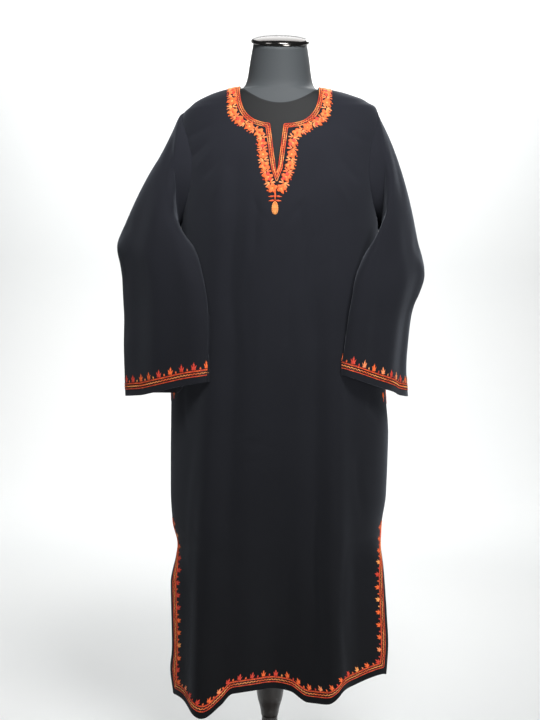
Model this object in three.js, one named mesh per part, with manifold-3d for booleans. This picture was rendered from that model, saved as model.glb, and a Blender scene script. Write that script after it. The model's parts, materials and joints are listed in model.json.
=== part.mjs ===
// A long pheran with a slit neck, wide sleeves and side slits, on a limbless dress form and its stand.
// Millimetres, +Z up. The front faces -Y, and the origin is the centre of the base's underside.
import * as THREE from "three";
import { mergeVertices } from "three/addons/utils/BufferGeometryUtils.js";
import Module from "manifold-3d";

const wasm = await Module();
wasm.setup();

// Cloth: a wall that lies just clear of the form.
const CLOTH_CLEARANCE = 0.9;
const CLOTH_WALL = 2;
const CLOTH_OUTSIDE = CLOTH_CLEARANCE + CLOTH_WALL;
const HALF_SEAM_GAP = 0.15;

// Heights of the garment's cut.
const HEM = 206;
const SLIT_TOP = 522;
const UNDERARM = 1127;
const SHOULDER_TIP = 1362;
const HEM_LIFT_END = 460;

// The armhole is widest half-way up: its half width is an angle round the trunk.
const ARMHOLE_HALF_ANGLE = THREE.MathUtils.degToRad(30);
const ARMHOLE_ROUNDNESS = 0.6;
const ARMHOLE_LEVELS = 9;
const SLEEVE_START_SHRINK = 0.005;
const SLEEVE_CLEARANCE = 3;

// The slits open from the side seam down to the hem. At these heights each edge stands this far
// from the side line. The front panel is drawn forward of the back one.
const SLIT_HEIGHTS = [HEM, 440, SLIT_TOP];
const FRONT_SLIT_LEFT = smoothCurve(SLIT_HEIGHTS, [58, 52, 10]);
const FRONT_SLIT_RIGHT = smoothCurve(SLIT_HEIGHTS, [58, 50, 10]);
const BACK_SLIT = smoothCurve(SLIT_HEIGHTS, [24, 16, 10]);

// Beside its slits the front panel hangs free and spreads outwards a little.
const SLIT_FLARE = { reach: smoothCurve(SLIT_HEIGHTS, [14, 13, 0]), from: 0.7, to: 0.94 };

// Neckline: a rounded square in front with a V slit below it, and a shallow one at the back.
const NECK_HALF_WIDTH = 76;
const NECK_TOP = 1402;
const NECK_DEPTH = 82;
const BACK_NECK_DEPTH = 25;
const NECK_SQUARENESS = 2.8;
const NECK_SLIT = { left: -17, right: 8.5, tipX: -3, tipZ: 1225, tipHalfWidth: 1, margin: 1 };
const CUTTER = { above: 30, reach: 220, pastSeam: 1, steps: 32 };

// Form, stand and how finely each is faceted.
const FORM_SIDES = 32;
const CAP = {
  radius: 57.5,
  height: 17,
  rim: 4,
  edge: 1.5,
  tilt: THREE.MathUtils.degToRad(18.5),
  lean: -14,
  seat: 1488,
  domeSteps: 6,
};
const SEAT_GAP = 0.3;
const STAND_SIDES = 28;
const FRONT_COLUMNS = 28;
const BACK_COLUMNS = 22;
const SLOPE_STEP = { height: 0.4, angle: 0.002 };

// A curve through (x, y) pairs that never overshoots them, and stays level beyond both ends.
function smoothCurve(xs, ys) {
  const last = xs.length - 1;
  const rise = (i) => (ys[i + 1] - ys[i]) / (xs[i + 1] - xs[i]);
  const slopes = xs.map((_, i) => {
    if (i === 0) return rise(0);
    if (i === last) return rise(last - 1);
    const before = rise(i - 1);
    const after = rise(i);
    return before * after <= 0 ? 0 : (2 * before * after) / (before + after);
  });
  return (x) => {
    if (x <= xs[0]) return ys[0];
    if (x >= xs[last]) return ys[last];
    let i = 0;
    while (x > xs[i + 1]) i += 1;
    const span = xs[i + 1] - xs[i];
    const t = (x - xs[i]) / span;
    const back = 1 - t;
    return (
      ys[i] * back * back * (1 + 2 * t) +
      ys[i + 1] * t * t * (3 - 2 * t) +
      span * t * back * (slopes[i] * back - slopes[i + 1] * t)
    );
  };
}

// Rows of a table as one curve for each named column, all read by the first column.
function profile(columns, rows) {
  const keys = rows.map((row) => row[0]);
  const curves = {};
  columns.slice(1).forEach((name, i) => {
    curves[name] = smoothCurve(keys, rows.map((row) => row[i + 1]));
  });
  return curves;
}

// Rises from 0 at the first value to 1 at the second, with soft ends.
function rampUp(x, from, to) {
  return THREE.MathUtils.smoothstep(x, from, to);
}

// The dress form: half width and reach to front and back at each height.
const FORM = profile(["z", "half", "front", "back"], [
  [690, 166, 104, 112],
  [700, 167, 105, 114],
  [750, 171, 109, 122],
  [800, 169, 112, 124],
  [850, 160, 112, 118],
  [900, 146, 108, 106],
  [950, 128, 101, 90],
  [995, 119, 97, 79],
  [1040, 126, 105, 82],
  [1080, 138, 117, 88],
  [1120, 150, 127, 94],
  [1160, 160, 130, 99],
  [1200, 170, 124, 102],
  [1250, 180, 111, 101],
  [1300, 189, 94, 95],
  [1325, 191, 86, 90],
  [1345, 190, 80, 85],
  [1359, 184.5, 76, 80.5],
  [1367, 176, 74, 78],
  [1375, 165, 71.5, 75],
  [1382, 149, 69, 72],
  [1389, 129, 67, 70],
  [1394, 105, 66, 68],
  [1397, 78, 65.2, 67],
  [1400, 74, 64.6, 66],
  [1404, 70, 64, 65],
  [1410, 66.5, 63.3, 64],
  [1420, 63.5, 62, 62],
  [1440, 60.5, 60, 59],
  [1466, 57.5, 57, 55],
  [1488, 52.5, 55, 52],
]);
const FORM_LEVELS = [
  690, 720, 760, 800, 850, 900, 950, 995, 1040, 1080, 1120, 1160, 1200, 1250, 1300, 1332, 1350, 1360,
  1369, 1377, 1384, 1390, 1394, 1397, 1400, 1405, 1413, 1430, 1455, 1488,
];
// The neck leans forward and its top is tilted.
const NECK = profile(["z", "lean", "tilt"], [
  [1404, 0, 0],
  [1420, -2, 0],
  [1440, -6, 0.05],
  [1466, -10, 0.2],
  [1488, CAP.lean, Math.tan(CAP.tilt)],
]);

// The worn cloth: reach to each side and to front and back at each height, before its folds.
const CLOTH = profile(["z", "left", "right", "front", "back"], [
  [206, 192, 232, 145, 134],
  [256, 199, 235, 146, 134],
  [296, 195, 236, 147, 134],
  [376, 197, 229, 148, 134],
  [426, 198, 223, 149, 134],
  [476, 188, 217, 150, 134],
  [496, 187, 215, 150, 134],
  [536, 198, 216, 150, 134],
  [600, 203, 224, 150, 136],
  [716, 204, 226, 149, 136],
  [800, 204, 219, 147, 133],
  [900, 199, 211, 144, 123],
  [1000, 193, 203, 141, 114],
  [1080, 189, 199, 139, 109],
  [1120, 188, 198, 138, 108],
  [1160, 188, 198, 135, 107],
  [1200, 189, 199, 128, 106],
  [1250, 191, 200, 114, 104],
  [1300, 193, 201, 96, 97],
  [1325, 193, 200, 86, 90],
  [1345, 191, 195, 80, 85],
  [1359, 186, 188, 76, 80.5],
  [1367, 176, 176, 74, 78],
  [1375, 165, 165, 71.5, 75],
  [1382, 149, 149, 69, 72],
  [1389, 129, 129, 67, 70],
  [1394, 105, 105, 66, 68],
  [1397, 82, 82, 65.5, 67],
  [1400, 62, 62, 65, 66],
]);
const SKIRT_LEVELS = [HEM, 236, 280, 340, 410, 470, SLIT_TOP, 590, 670, 760, 850, 940, 1030, 1090];
const SHOULDER_LEVELS = [1369, 1377, 1385, 1391, 1395, 1398, 1400];

// Hanging folds: where each ridge or valley runs and how far it stands out, at four heights.
const FOLD_HEIGHTS = [HEM, 600, 900, 1200];
const FRONT_FOLDS = [
  { name: "ridge_left", x: [-122, -119, -112, -105], depth: [36, 18, 10, 4], width: 30 },
  { name: "valley_left", x: [-95, -90, -82, -80], depth: [-5, -8, -9, -6], width: 22 },
  { name: "centre_valley", x: [10, 5, 0, 0], depth: [-42, -18, -5, 0], width: 60 },
  { name: "valley_right", x: [90, 84, 80, 78], depth: [-6, -9, -9, -5], width: 20 },
  { name: "ridge_right", x: [114, 113, 104, 102], depth: [26, 16, 9, 4], width: 28 },
];
const BACK_FOLDS = [
  { name: "back_ridge_left", x: [-122, -116, -108, -100], depth: [15, 12, 8, 3], width: 28 },
  { name: "back_valley_left", x: [-74, -70, -66, -64], depth: [-10, -7, -4, -1], width: 22 },
  { name: "back_ridge_middle_left", x: [-30, -28, -26, -24], depth: [12, 9, 5, 1], width: 24 },
  { name: "back_valley_middle", x: [12, 10, 8, 8], depth: [-11, -8, -4, -1], width: 20 },
  { name: "back_ridge_middle_right", x: [58, 54, 48, 44], depth: [13, 9, 5, 2], width: 24 },
  { name: "back_ridge_right", x: [138, 126, 112, 104], depth: [16, 11, 7, 3], width: 28 },
];
const FOLD_FADE = { from: 1200, to: 1300 };
const FOLD_SIDE_FADE = 0.4;
// The form stands with one shoulder lower, and the cloth lies higher on the other: how far each
// drops at the shoulder's tip.
const SHOULDER = { halfWidth: 190, from: 1200, to: 1340, sharpness: 4 };
const FORM_DROP = { left: -11, right: -1 };
const CLOTH_DROP = { left: -11, right: 8 };
const CHEST_PUCKERS = [
  { x: -42, top: 1215, bottom: 1035, depth: -4, width: 10 },
  { x: 44, top: 1200, bottom: 1050, depth: -4, width: 10 },
];

for (const fold of [...FRONT_FOLDS, ...BACK_FOLDS]) {
  fold.place = smoothCurve(FOLD_HEIGHTS, fold.x);
  fold.reach = smoothCurve(FOLD_HEIGHTS, fold.depth);
}

// How far the hem is lifted, across each panel from its left side (-1) to its right (1).
const FRONT_HEM_LIFT = smoothCurve(
  [-1, -0.88, -0.72, -0.6, -0.49, -0.38, -0.2, 0, 0.18, 0.33, 0.45, 0.57, 0.69, 0.88, 1],
  [0, 0, -10, -23, -1, 22, 26, 27, 24, 6, 9, 32, 36, 48, 28],
);
const BACK_HEM_LIFT = smoothCurve([-1, 0, 1], [19, 6, 29]);

// Sleeves, ring by ring from the armhole to the cuff: the outer and the inner edge of the flattened
// tube, and how far its front and back stand out between them.
const SLEEVE_COLUMNS = ["outerX", "outerY", "outerZ", "innerX", "innerY", "innerZ", "front", "back"];
const LEFT_SLEEVE = [
  [-196, 1, 1345, -195, -6, 1126, 60, 56],
  [-212, 2, 1310, -192, -24, 1117, 57, 52],
  [-232, 3, 1266, -185, -45, 1112, 56, 46],
  [-254, 4, 1224, -175, -66, 1102, 52, 40],
  [-276, 4, 1178, -162, -86, 1085, 48, 34],
  [-298, 4, 1130, -151, -100, 1060, 45, 30],
  [-316, 4, 1092, -143, -110, 1032, 42, 27],
  [-310, 2, 1052, -136, -118, 1002, 40, 25],
  [-303, 0, 1000, -131, -124, 968, 38, 24],
  [-300, -3, 940, -129, -128, 930, 36, 23],
  [-299, -6, 880, -129, -131, 892, 35, 22],
  [-297, -8, 832, -129, -132, 852, 34, 22],
  [-295, -10, 790, -129, -133, 816, 34, 22],
];
const RIGHT_SLEEVE = [
  [200, 1, 1346, 205, -6, 1126, 60, 56],
  [214, 2, 1318, 202, -24, 1117, 57, 52],
  [228, 4, 1284, 197, -46, 1111, 56, 46],
  [241, 6, 1244, 187, -68, 1100, 52, 40],
  [253, 8, 1200, 173, -88, 1082, 48, 34],
  [264, 10, 1156, 161, -102, 1056, 45, 30],
  [276, 14, 1104, 151, -113, 1026, 42, 27],
  [293, 18, 1047, 145, -121, 992, 43, 25],
  [283, 22, 1005, 140, -127, 962, 44, 24],
  [264, 26, 955, 136, -130, 928, 44, 23],
  [257, 29, 900, 132, -133, 894, 43, 22],
  [256, 31, 850, 129, -134, 864, 42, 22],
  [262, 32, 804, 128, -135, 842, 42, 22],
];

// The turned post and the base, as radius and height.
const POST_PROFILE = [
  [0, 28.6], [38, 28.6], [38, 34], [34, 40], [22, 56], [18, 75], [20, 95], [24, 101], [26, 108],
  [24, 115], [19, 120], [16, 128], [15.8, 140], [17, 143], [20, 160], [25, 178], [28, 198], [29, 215],
  [27, 240], [22, 262], [18, 275], [21, 281], [22, 287], [18, 293], [16, 300], [16, 660], [30, 668],
  [30, 689.7], [0, 689.7],
];
const BASE_PROFILE = [[0, 0], [186, 0], [190, 4], [190, 14], [182, 22], [60, 28], [0, 28]];

const vector = (x, y, z) => new THREE.Vector3(x, y, z);

// Closed geometry from points and triangles, turned so that its faces point outwards.
function closedGeometry(points, triangles) {
  let volume = 0;
  for (const [a, b, c] of triangles) volume += points[a].dot(points[b].clone().cross(points[c]));
  const faces = volume < 0 ? triangles.map(([a, b, c]) => [a, c, b]) : triangles;
  const geometry = new THREE.BufferGeometry();
  geometry.setAttribute("position", new THREE.Float32BufferAttribute(points.flatMap((p) => p.toArray()), 3));
  geometry.setIndex(faces.flat());
  geometry.computeVertexNormals();
  return geometry;
}

// A wall between an outer and an inner grid of points, with a rim along every open edge.
// A tube's grid closes on itself from its last column to its first.
function wallGeometry(outer, inner, isTube) {
  const rows = outer.length;
  const columns = outer[0].length;
  const points = [...outer.flat(), ...inner.flat()];
  const outside = (r, c) => r * columns + (c % columns);
  const inside = (r, c) => rows * columns + outside(r, c);
  const triangles = [];
  const quad = (a, b, c, d) => triangles.push([a, b, c], [a, c, d]);
  const last = isTube ? columns : columns - 1;
  for (let r = 0; r < rows - 1; r += 1) {
    for (let c = 0; c < last; c += 1) {
      quad(outside(r, c), outside(r, c + 1), outside(r + 1, c + 1), outside(r + 1, c));
      quad(inside(r, c), inside(r + 1, c), inside(r + 1, c + 1), inside(r, c + 1));
    }
    if (!isTube) {
      quad(inside(r, 0), outside(r, 0), outside(r + 1, 0), inside(r + 1, 0));
      quad(outside(r, last), inside(r, last), inside(r + 1, last), outside(r + 1, last));
    }
  }
  for (let c = 0; c < last; c += 1) {
    quad(inside(0, c), inside(0, c + 1), outside(0, c + 1), outside(0, c));
    quad(outside(rows - 1, c), outside(rows - 1, c + 1), inside(rows - 1, c + 1), inside(rows - 1, c));
  }
  return closedGeometry(points, triangles);
}

function shoulderDrop(x, z, drop) {
  const out = Math.min(Math.abs(x) / SHOULDER.halfWidth, 1) ** SHOULDER.sharpness;
  return (x < 0 ? drop.left : drop.right) * out * rampUp(z, SHOULDER.from, SHOULDER.to);
}

// How far the hanging folds push the cloth out at a height and a place across.
function foldReach(z, x, folds) {
  const fade = 1 - rampUp(z, FOLD_FADE.from, FOLD_FADE.to);
  let reach = 0;
  for (const fold of folds) {
    const across = (x - fold.place(z)) / fold.width;
    reach += fade * fold.reach(z) * Math.exp(-across * across);
  }
  return reach;
}

function puckerReach(z, x) {
  let reach = 0;
  for (const pucker of CHEST_PUCKERS) {
    const across = (x - pucker.x) / pucker.width;
    const along = THREE.MathUtils.clamp((z - pucker.bottom) / (pucker.top - pucker.bottom), 0, 1);
    reach += pucker.depth * Math.sin(Math.PI * along) ** 2 * Math.exp(-across * across);
  }
  return reach;
}

// The trunk's cloth as a surface: the angle runs from the front (0) to the right side (90 degrees).
function trunkSurface(z, angle) {
  const across = Math.sin(angle);
  const ahead = Math.cos(angle);
  const half = across < 0 ? CLOTH.left(z) : CLOTH.right(z);
  const reach = ahead > 0 ? CLOTH.front(z) : CLOTH.back(z);
  const point = vector(half * across, -reach * ahead, z);
  const flare = SLIT_FLARE.reach(z) * rampUp(Math.abs(across), SLIT_FLARE.from, SLIT_FLARE.to);
  const stand =
    ahead > 0
      ? foldReach(z, point.x, FRONT_FOLDS) + puckerReach(z, point.x) + flare
      : foldReach(z, point.x, BACK_FOLDS);
  const fade = rampUp(Math.abs(ahead), 0, FOLD_SIDE_FADE);
  const outward = vector(across / half, -ahead / reach, 0).normalize();
  point.addScaledVector(outward, stand * fade);
  point.z += shoulderDrop(point.x, z, CLOTH_DROP);
  return point;
}

// A point off the trunk's surface, square to it.
function trunkPoint(z, angle, distance) {
  const round = trunkSurface(z, angle + SLOPE_STEP.angle).sub(trunkSurface(z, angle - SLOPE_STEP.angle));
  const up = trunkSurface(z + SLOPE_STEP.height, angle).sub(trunkSurface(z - SLOPE_STEP.height, angle));
  const outward = round.cross(up).normalize();
  return trunkSurface(z, angle).addScaledVector(outward, distance);
}

function armholeHalfAngle(z) {
  const up = THREE.MathUtils.clamp((z - UNDERARM) / (SHOULDER_TIP - UNDERARM), 0, 1);
  return ARMHOLE_HALF_ANGLE * Math.max(Math.sin(Math.PI * up), 0) ** ARMHOLE_ROUNDNESS;
}

// The angle between a panel's side edge and the side line: a seam, an armhole or a slit.
function edgeAngle(z, reach, slit) {
  if (z < SLIT_TOP) return Math.asin(slit(z) / reach);
  return Math.max(armholeHalfAngle(z), Math.asin(HALF_SEAM_GAP / reach));
}

const armholeLevels = Array.from({ length: ARMHOLE_LEVELS + 1 }, (_, i) => {
  const up = (1 - Math.cos((Math.PI * i) / ARMHOLE_LEVELS)) / 2;
  return UNDERARM + (SHOULDER_TIP - UNDERARM) * up;
});
const panelLevels = [...SKIRT_LEVELS, ...armholeLevels, ...SHOULDER_LEVELS];

// A front or back panel between its two side edges, from the hem to the shoulders. The slits are
// given for the panel's first and last column.
function panelGeometry(middle, columns, reachAt, slits, hemLift) {
  const grid = (distance) =>
    panelLevels.map((level) => {
      const sides = slits.map((slit) => Math.PI / 2 - edgeAngle(level, reachAt(level), slit));
      return Array.from({ length: columns + 1 }, (_, c) => {
        const turn = -1 + (2 * c) / columns;
        const angle = middle + turn * sides[turn < 0 ? 0 : 1];
        const lift = hemLift(Math.sin(angle)) * (1 - rampUp(level, HEM, HEM_LIFT_END));
        return trunkPoint(level + lift, angle, distance);
      });
    });
  return wallGeometry(grid(CLOTH_OUTSIDE), grid(CLOTH_CLEARANCE), false);
}

// The neck opening seen from the front, as a block that is cut out of a panel.
function neckCutter(depth, slit, isFront) {
  const outline = [[NECK_HALF_WIDTH, NECK_TOP + CUTTER.above]];
  const power = 2 / NECK_SQUARENESS;
  let isSlitCut = false;
  for (let i = 0; i <= CUTTER.steps; i += 1) {
    const turn = (Math.PI * i) / CUTTER.steps;
    const x = NECK_HALF_WIDTH * Math.sign(Math.cos(turn)) * Math.abs(Math.cos(turn)) ** power;
    const z = NECK_TOP - depth * Math.abs(Math.sin(turn)) ** power;
    if (!slit || x > slit.right + slit.margin || x < slit.left - slit.margin) outline.push([x, z]);
    else if (!isSlitCut) {
      const bottom = NECK_TOP - depth;
      outline.push([slit.right, bottom], [slit.tipX + slit.tipHalfWidth, slit.tipZ]);
      outline.push([slit.tipX - slit.tipHalfWidth, slit.tipZ], [slit.left, bottom]);
      isSlitCut = true;
    }
  }
  outline.push([-NECK_HALF_WIDTH, NECK_TOP + CUTTER.above]);
  const shape = new THREE.Shape(outline.map(([x, z]) => new THREE.Vector2(x, z)));
  const block = new THREE.ExtrudeGeometry(shape, { depth: CUTTER.reach, bevelEnabled: false });
  block.rotateX(Math.PI / 2);
  block.translate(0, isFront ? CUTTER.pastSeam : CUTTER.reach - CUTTER.pastSeam, 0);
  return block;
}

function toSolid(geometry) {
  const bare = new THREE.BufferGeometry();
  bare.setAttribute("position", geometry.getAttribute("position"));
  if (geometry.index) bare.setIndex(geometry.index);
  const merged = mergeVertices(bare, 1e-3);
  return new wasm.Manifold(
    new wasm.Mesh({
      numProp: 3,
      vertProperties: new Float32Array(merged.attributes.position.array),
      triVerts: new Uint32Array(merged.index.array),
    }),
  );
}

function cutAway(geometry, cutter) {
  const mesh = toSolid(geometry).subtract(toSolid(cutter)).getMesh();
  const cut = new THREE.BufferGeometry();
  cut.setAttribute("position", new THREE.Float32BufferAttribute(mesh.vertProperties, 3));
  cut.setIndex(Array.from(mesh.triVerts));
  cut.computeVertexNormals();
  return cut;
}

// Moves a sleeve's point out until it clears the trunk's cloth.
function clearOfTrunk(point) {
  const half = point.x < 0 ? CLOTH.left(point.z) : CLOTH.right(point.z);
  const reach = point.y < 0 ? CLOTH.front(point.z) : CLOTH.back(point.z);
  const angle = Math.atan2(point.x / half, -point.y / reach);
  const limit = trunkPoint(point.z, angle, CLOTH_OUTSIDE + SLEEVE_CLEARANCE);
  if (Math.hypot(point.x, point.y) < Math.hypot(limit.x, limit.y)) point.set(limit.x, limit.y, point.z);
  return point;
}

// The first ring of a sleeve: the armhole, drawn in a little so that it clears the panels.
function armholeRing(side, distance) {
  const middle = (UNDERARM + SHOULDER_TIP) / 2;
  return Array.from({ length: 2 * ARMHOLE_LEVELS }, (_, k) => {
    const isFront = k <= ARMHOLE_LEVELS;
    const level = armholeLevels[isFront ? ARMHOLE_LEVELS - k : k - ARMHOLE_LEVELS];
    const open = armholeHalfAngle(level) * (1 - SLEEVE_START_SHRINK);
    const height = level + (middle - level) * SLEEVE_START_SHRINK;
    return trunkPoint(height, side * (Math.PI / 2 + (isFront ? -open : open)), distance);
  });
}

// A sleeve as a flattened tube: each ring is an ellipse between its outer and its inner edge.
function sleeveGeometry(side, rows) {
  const rings = rows.map((row) => Object.fromEntries(SLEEVE_COLUMNS.map((name, i) => [name, row[i]])));
  const outerEdge = (ring) => vector(ring.outerX, ring.outerY, ring.outerZ);
  const innerEdge = (ring) => vector(ring.innerX, ring.innerY, ring.innerZ);
  const middles = rings.map((ring) => outerEdge(ring).add(innerEdge(ring)).multiplyScalar(0.5));
  const outer = rings.map((ring, r) => {
    const spread = outerEdge(ring).sub(innerEdge(ring)).multiplyScalar(0.5);
    const forward = vector(0, -1, 0).projectOnPlane(spread.clone().normalize()).normalize();
    return Array.from({ length: 2 * ARMHOLE_LEVELS }, (_, k) => {
      const turn = (Math.PI * k) / ARMHOLE_LEVELS;
      const stand = Math.sin(turn) * (k <= ARMHOLE_LEVELS ? ring.front : ring.back);
      const point = middles[r].clone().addScaledVector(spread, Math.cos(turn));
      return clearOfTrunk(point.addScaledVector(forward, stand));
    });
  });
  outer.unshift(armholeRing(side, CLOTH_OUTSIDE));
  const inner = outer.map((ring, r) => {
    const along = (middles[r] ?? middles[r - 1]).clone().sub(middles[r - 2] ?? middles[0]);
    return insideRing(ring, along, -side);
  });
  inner[0] = armholeRing(side, CLOTH_CLEARANCE);
  return wallGeometry(outer, inner, true);
}

// A ring one wall's thickness inside a tube's ring. The inside lies to the positive side of the
// round and along directions on a left sleeve, and to the negative side on a right one.
function insideRing(ring, along, inward) {
  return ring.map((point, k) => {
    const round = ring[(k + 1) % ring.length].clone().sub(ring[(k + ring.length - 1) % ring.length]);
    return point.clone().addScaledVector(round.cross(along).normalize(), inward * CLOTH_WALL);
  });
}

// The limbless form: rings from the flat bottom to the tilted top of the neck, closed at both ends.
function formGeometry() {
  const points = [];
  for (const z of FORM_LEVELS) {
    for (let i = 0; i < FORM_SIDES; i += 1) {
      const angle = (2 * Math.PI * i) / FORM_SIDES;
      const ahead = Math.cos(angle);
      const y = -(ahead > 0 ? FORM.front(z) : FORM.back(z)) * ahead;
      const x = FORM.half(z) * Math.sin(angle);
      points.push(vector(x, y + NECK.lean(z), z + y * NECK.tilt(z) + shoulderDrop(x, z, FORM_DROP)));
    }
  }
  const bottom = points.length;
  const top = bottom + 1;
  points.push(vector(0, 0, FORM_LEVELS[0]), vector(0, CAP.lean, CAP.seat));
  const triangles = [];
  const last = FORM_LEVELS.length - 1;
  for (let i = 0; i < FORM_SIDES; i += 1) {
    const next = (i + 1) % FORM_SIDES;
    for (let r = 0; r < last; r += 1) {
      const low = r * FORM_SIDES;
      const high = low + FORM_SIDES;
      triangles.push([low + i, low + next, high + next], [low + i, high + next, high + i]);
    }
    triangles.push([bottom, next, i], [top, last * FORM_SIDES + i, last * FORM_SIDES + next]);
  }
  return closedGeometry(points, triangles);
}

// A turned piece about the vertical axis.
function turned(outline) {
  const geometry = new THREE.LatheGeometry(outline.map(([r, z]) => new THREE.Vector2(r, z)), STAND_SIDES);
  return geometry.rotateX(Math.PI / 2);
}

// The shallow metal dome that closes the neck.
function capGeometry() {
  const outline = [[0, 0], [CAP.radius - CAP.edge, 0], [CAP.radius, CAP.edge], [CAP.radius, CAP.rim]];
  for (let i = 1; i < CAP.domeSteps; i += 1) {
    const turn = (Math.PI / 2) * (i / CAP.domeSteps);
    outline.push([CAP.radius * Math.cos(turn), CAP.rim + (CAP.height - CAP.rim) * Math.sin(turn)]);
  }
  outline.push([0, CAP.height]);
  return turned(outline);
}

function material(color, roughness, metalness = 0) {
  return new THREE.MeshStandardMaterial({ color, roughness, metalness });
}
const blackCloth = () => material(0x1d1e22, 0.9);
const blackVinyl = () => material(0x2b2d30, 0.5);

function named(name, geometry, finish) {
  const mesh = new THREE.Mesh(geometry, finish);
  mesh.name = name;
  return mesh;
}

const frontSlits = [FRONT_SLIT_LEFT, FRONT_SLIT_RIGHT];
const front = panelGeometry(0, FRONT_COLUMNS, CLOTH.front, frontSlits, FRONT_HEM_LIFT);
const backSlits = [BACK_SLIT, BACK_SLIT];
const back = panelGeometry(Math.PI, BACK_COLUMNS, CLOTH.back, backSlits, BACK_HEM_LIFT);
const cap = named("neck_cap", capGeometry(), material(0xb8babb, 0.25, 1));
cap.position.set(0, CAP.lean - SEAT_GAP * Math.sin(CAP.tilt), CAP.seat + SEAT_GAP * Math.cos(CAP.tilt));
cap.rotation.x = CAP.tilt;

const pheranOnForm = new THREE.Group();
pheranOnForm.add(
  named("front_panel", cutAway(front, neckCutter(NECK_DEPTH, NECK_SLIT, true)), blackCloth()),
  named("back_panel", cutAway(back, neckCutter(BACK_NECK_DEPTH, null, false)), blackCloth()),
  named("left_sleeve", sleeveGeometry(-1, LEFT_SLEEVE), blackCloth()),
  named("right_sleeve", sleeveGeometry(1, RIGHT_SLEEVE), blackCloth()),
  named("dress_form", formGeometry(), blackVinyl()),
  cap,
  named("stand_post", turned(POST_PROFILE), material(0x17171a, 0.45)),
  named("stand_base", turned(BASE_PROFILE), material(0x17171a, 0.45)),
);

export default pheranOnForm;
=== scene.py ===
# %% [markdown]
# # A pheran on its dress form
#
# A pheran is a long, loose woollen dress. This one hangs on a limbless dress form with a turned
# stand, and its neck, cuffs, side slits and hem are worked in shaded thread. The garment is cut
# flat from four pieces: a front, a back and two wide sleeves. Cloth has no shape of its own, so
# the lesson starts from where it hangs: a few measured curves give the worn shape, creases are laid on
# it one by one, and every stitch then finds the cloth under it.
#
# The construction model comes first and stays fixed.

# %% Load the frame
import functools
import json
import math
import random

import bpy
import numpy as np
from mathutils import Matrix, Vector
from mathutils.bvhtree import BVHTree

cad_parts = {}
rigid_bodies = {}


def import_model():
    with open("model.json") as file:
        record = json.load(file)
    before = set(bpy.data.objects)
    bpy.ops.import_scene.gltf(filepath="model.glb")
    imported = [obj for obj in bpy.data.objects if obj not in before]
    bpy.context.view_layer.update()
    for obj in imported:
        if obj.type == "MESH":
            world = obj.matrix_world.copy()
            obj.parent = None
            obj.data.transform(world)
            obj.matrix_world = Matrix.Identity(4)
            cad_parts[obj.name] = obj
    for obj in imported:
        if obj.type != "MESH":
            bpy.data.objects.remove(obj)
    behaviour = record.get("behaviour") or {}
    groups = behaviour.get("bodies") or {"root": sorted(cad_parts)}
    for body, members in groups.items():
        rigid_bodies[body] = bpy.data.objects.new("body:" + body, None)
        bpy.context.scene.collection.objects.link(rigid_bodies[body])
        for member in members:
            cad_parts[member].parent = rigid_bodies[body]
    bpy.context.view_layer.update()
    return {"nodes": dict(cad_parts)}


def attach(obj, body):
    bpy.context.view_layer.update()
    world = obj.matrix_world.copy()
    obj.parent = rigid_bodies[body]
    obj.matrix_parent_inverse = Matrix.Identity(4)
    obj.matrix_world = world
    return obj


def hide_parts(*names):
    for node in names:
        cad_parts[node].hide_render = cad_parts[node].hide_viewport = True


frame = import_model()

MM = 0.001
BODY = "root"
print("frame nodes:", sorted(frame["nodes"]))

# %% [markdown]
# ## Small helpers
#
# A curve through a few given points is the tool that is used most here. It never overshoots its points,
# so a table of widths gives a calm outline. A plain spline would bulge between unevenly spaced points,
# which on cloth looks like a lump.


# %% Curves through given points
def cubic(start, end, start_slope, end_slope, span, t):
    """A cubic between two values with the slopes given at its ends, at a share t of its span."""
    back = 1 - t
    bend = span * t * back * (start_slope * back - end_slope * t)
    return start * back**2 * (1 + 2 * t) + end * t**2 * (3 - 2 * t) + bend


def smooth_curve(xs, ys):
    """A curve through the points that never overshoots them and is level beyond both ends."""
    xs = np.array(xs, float)
    ys = np.array(ys, float)
    rise = np.diff(ys) / np.diff(xs)
    product = rise[:-1] * rise[1:]
    total = rise[:-1] + rise[1:]
    middle = np.where(product > 0, 2 * product / np.where(total == 0, 1, total), 0)
    slopes = np.concatenate([rise[:1], middle, rise[-1:]])

    def at(x):
        x = np.clip(x, xs[0], xs[-1])
        i = np.clip(np.searchsorted(xs, x, side="right") - 1, 0, len(xs) - 2)
        span = xs[i + 1] - xs[i]
        return cubic(ys[i], ys[i + 1], slopes[i], slopes[i + 1], span, (x - xs[i]) / span)

    return at


def ramp_up(x, start, end):
    """Rises from 0 at start to 1 at end, with soft ends."""
    t = np.clip((x - start) / (end - start), 0, 1)
    return t * t * (3 - 2 * t)


def unit(vectors):
    """The vectors at length 1."""
    return vectors / np.maximum(np.linalg.norm(vectors, axis=-1, keepdims=True), 1e-9)


def run_along(path):
    """Millimetres along a path, from its first point."""
    return np.concatenate([[0], np.cumsum(np.linalg.norm(np.diff(path, axis=0), axis=1))])


def points_at(path, run, marks):
    """Points of a path at marks on its run."""
    return np.stack([np.interp(marks, run, path[:, k]) for k in range(3)], -1)


def resampled(path, count):
    """The same line as evenly spaced points."""
    run = run_along(path)
    return points_at(path, run, np.linspace(0, run[-1], count))


print("a curve through 0, 1, 0 reaches", float(smooth_curve([0, 1, 2], [0, 1, 0])(1.0)))

# %% [markdown]
# ## The worn shape of the trunk
#
# Front and back are one surface round the body. At each height it has a reach to the left, to
# the right, to the front and to the back. A point on it is named by its height and by an angle,
# which is 0 at the front and a quarter turn at the garment's side. The numbers are millimetres,
# and they are the same ones that the construction model uses, so the looks sit on it exactly.

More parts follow.
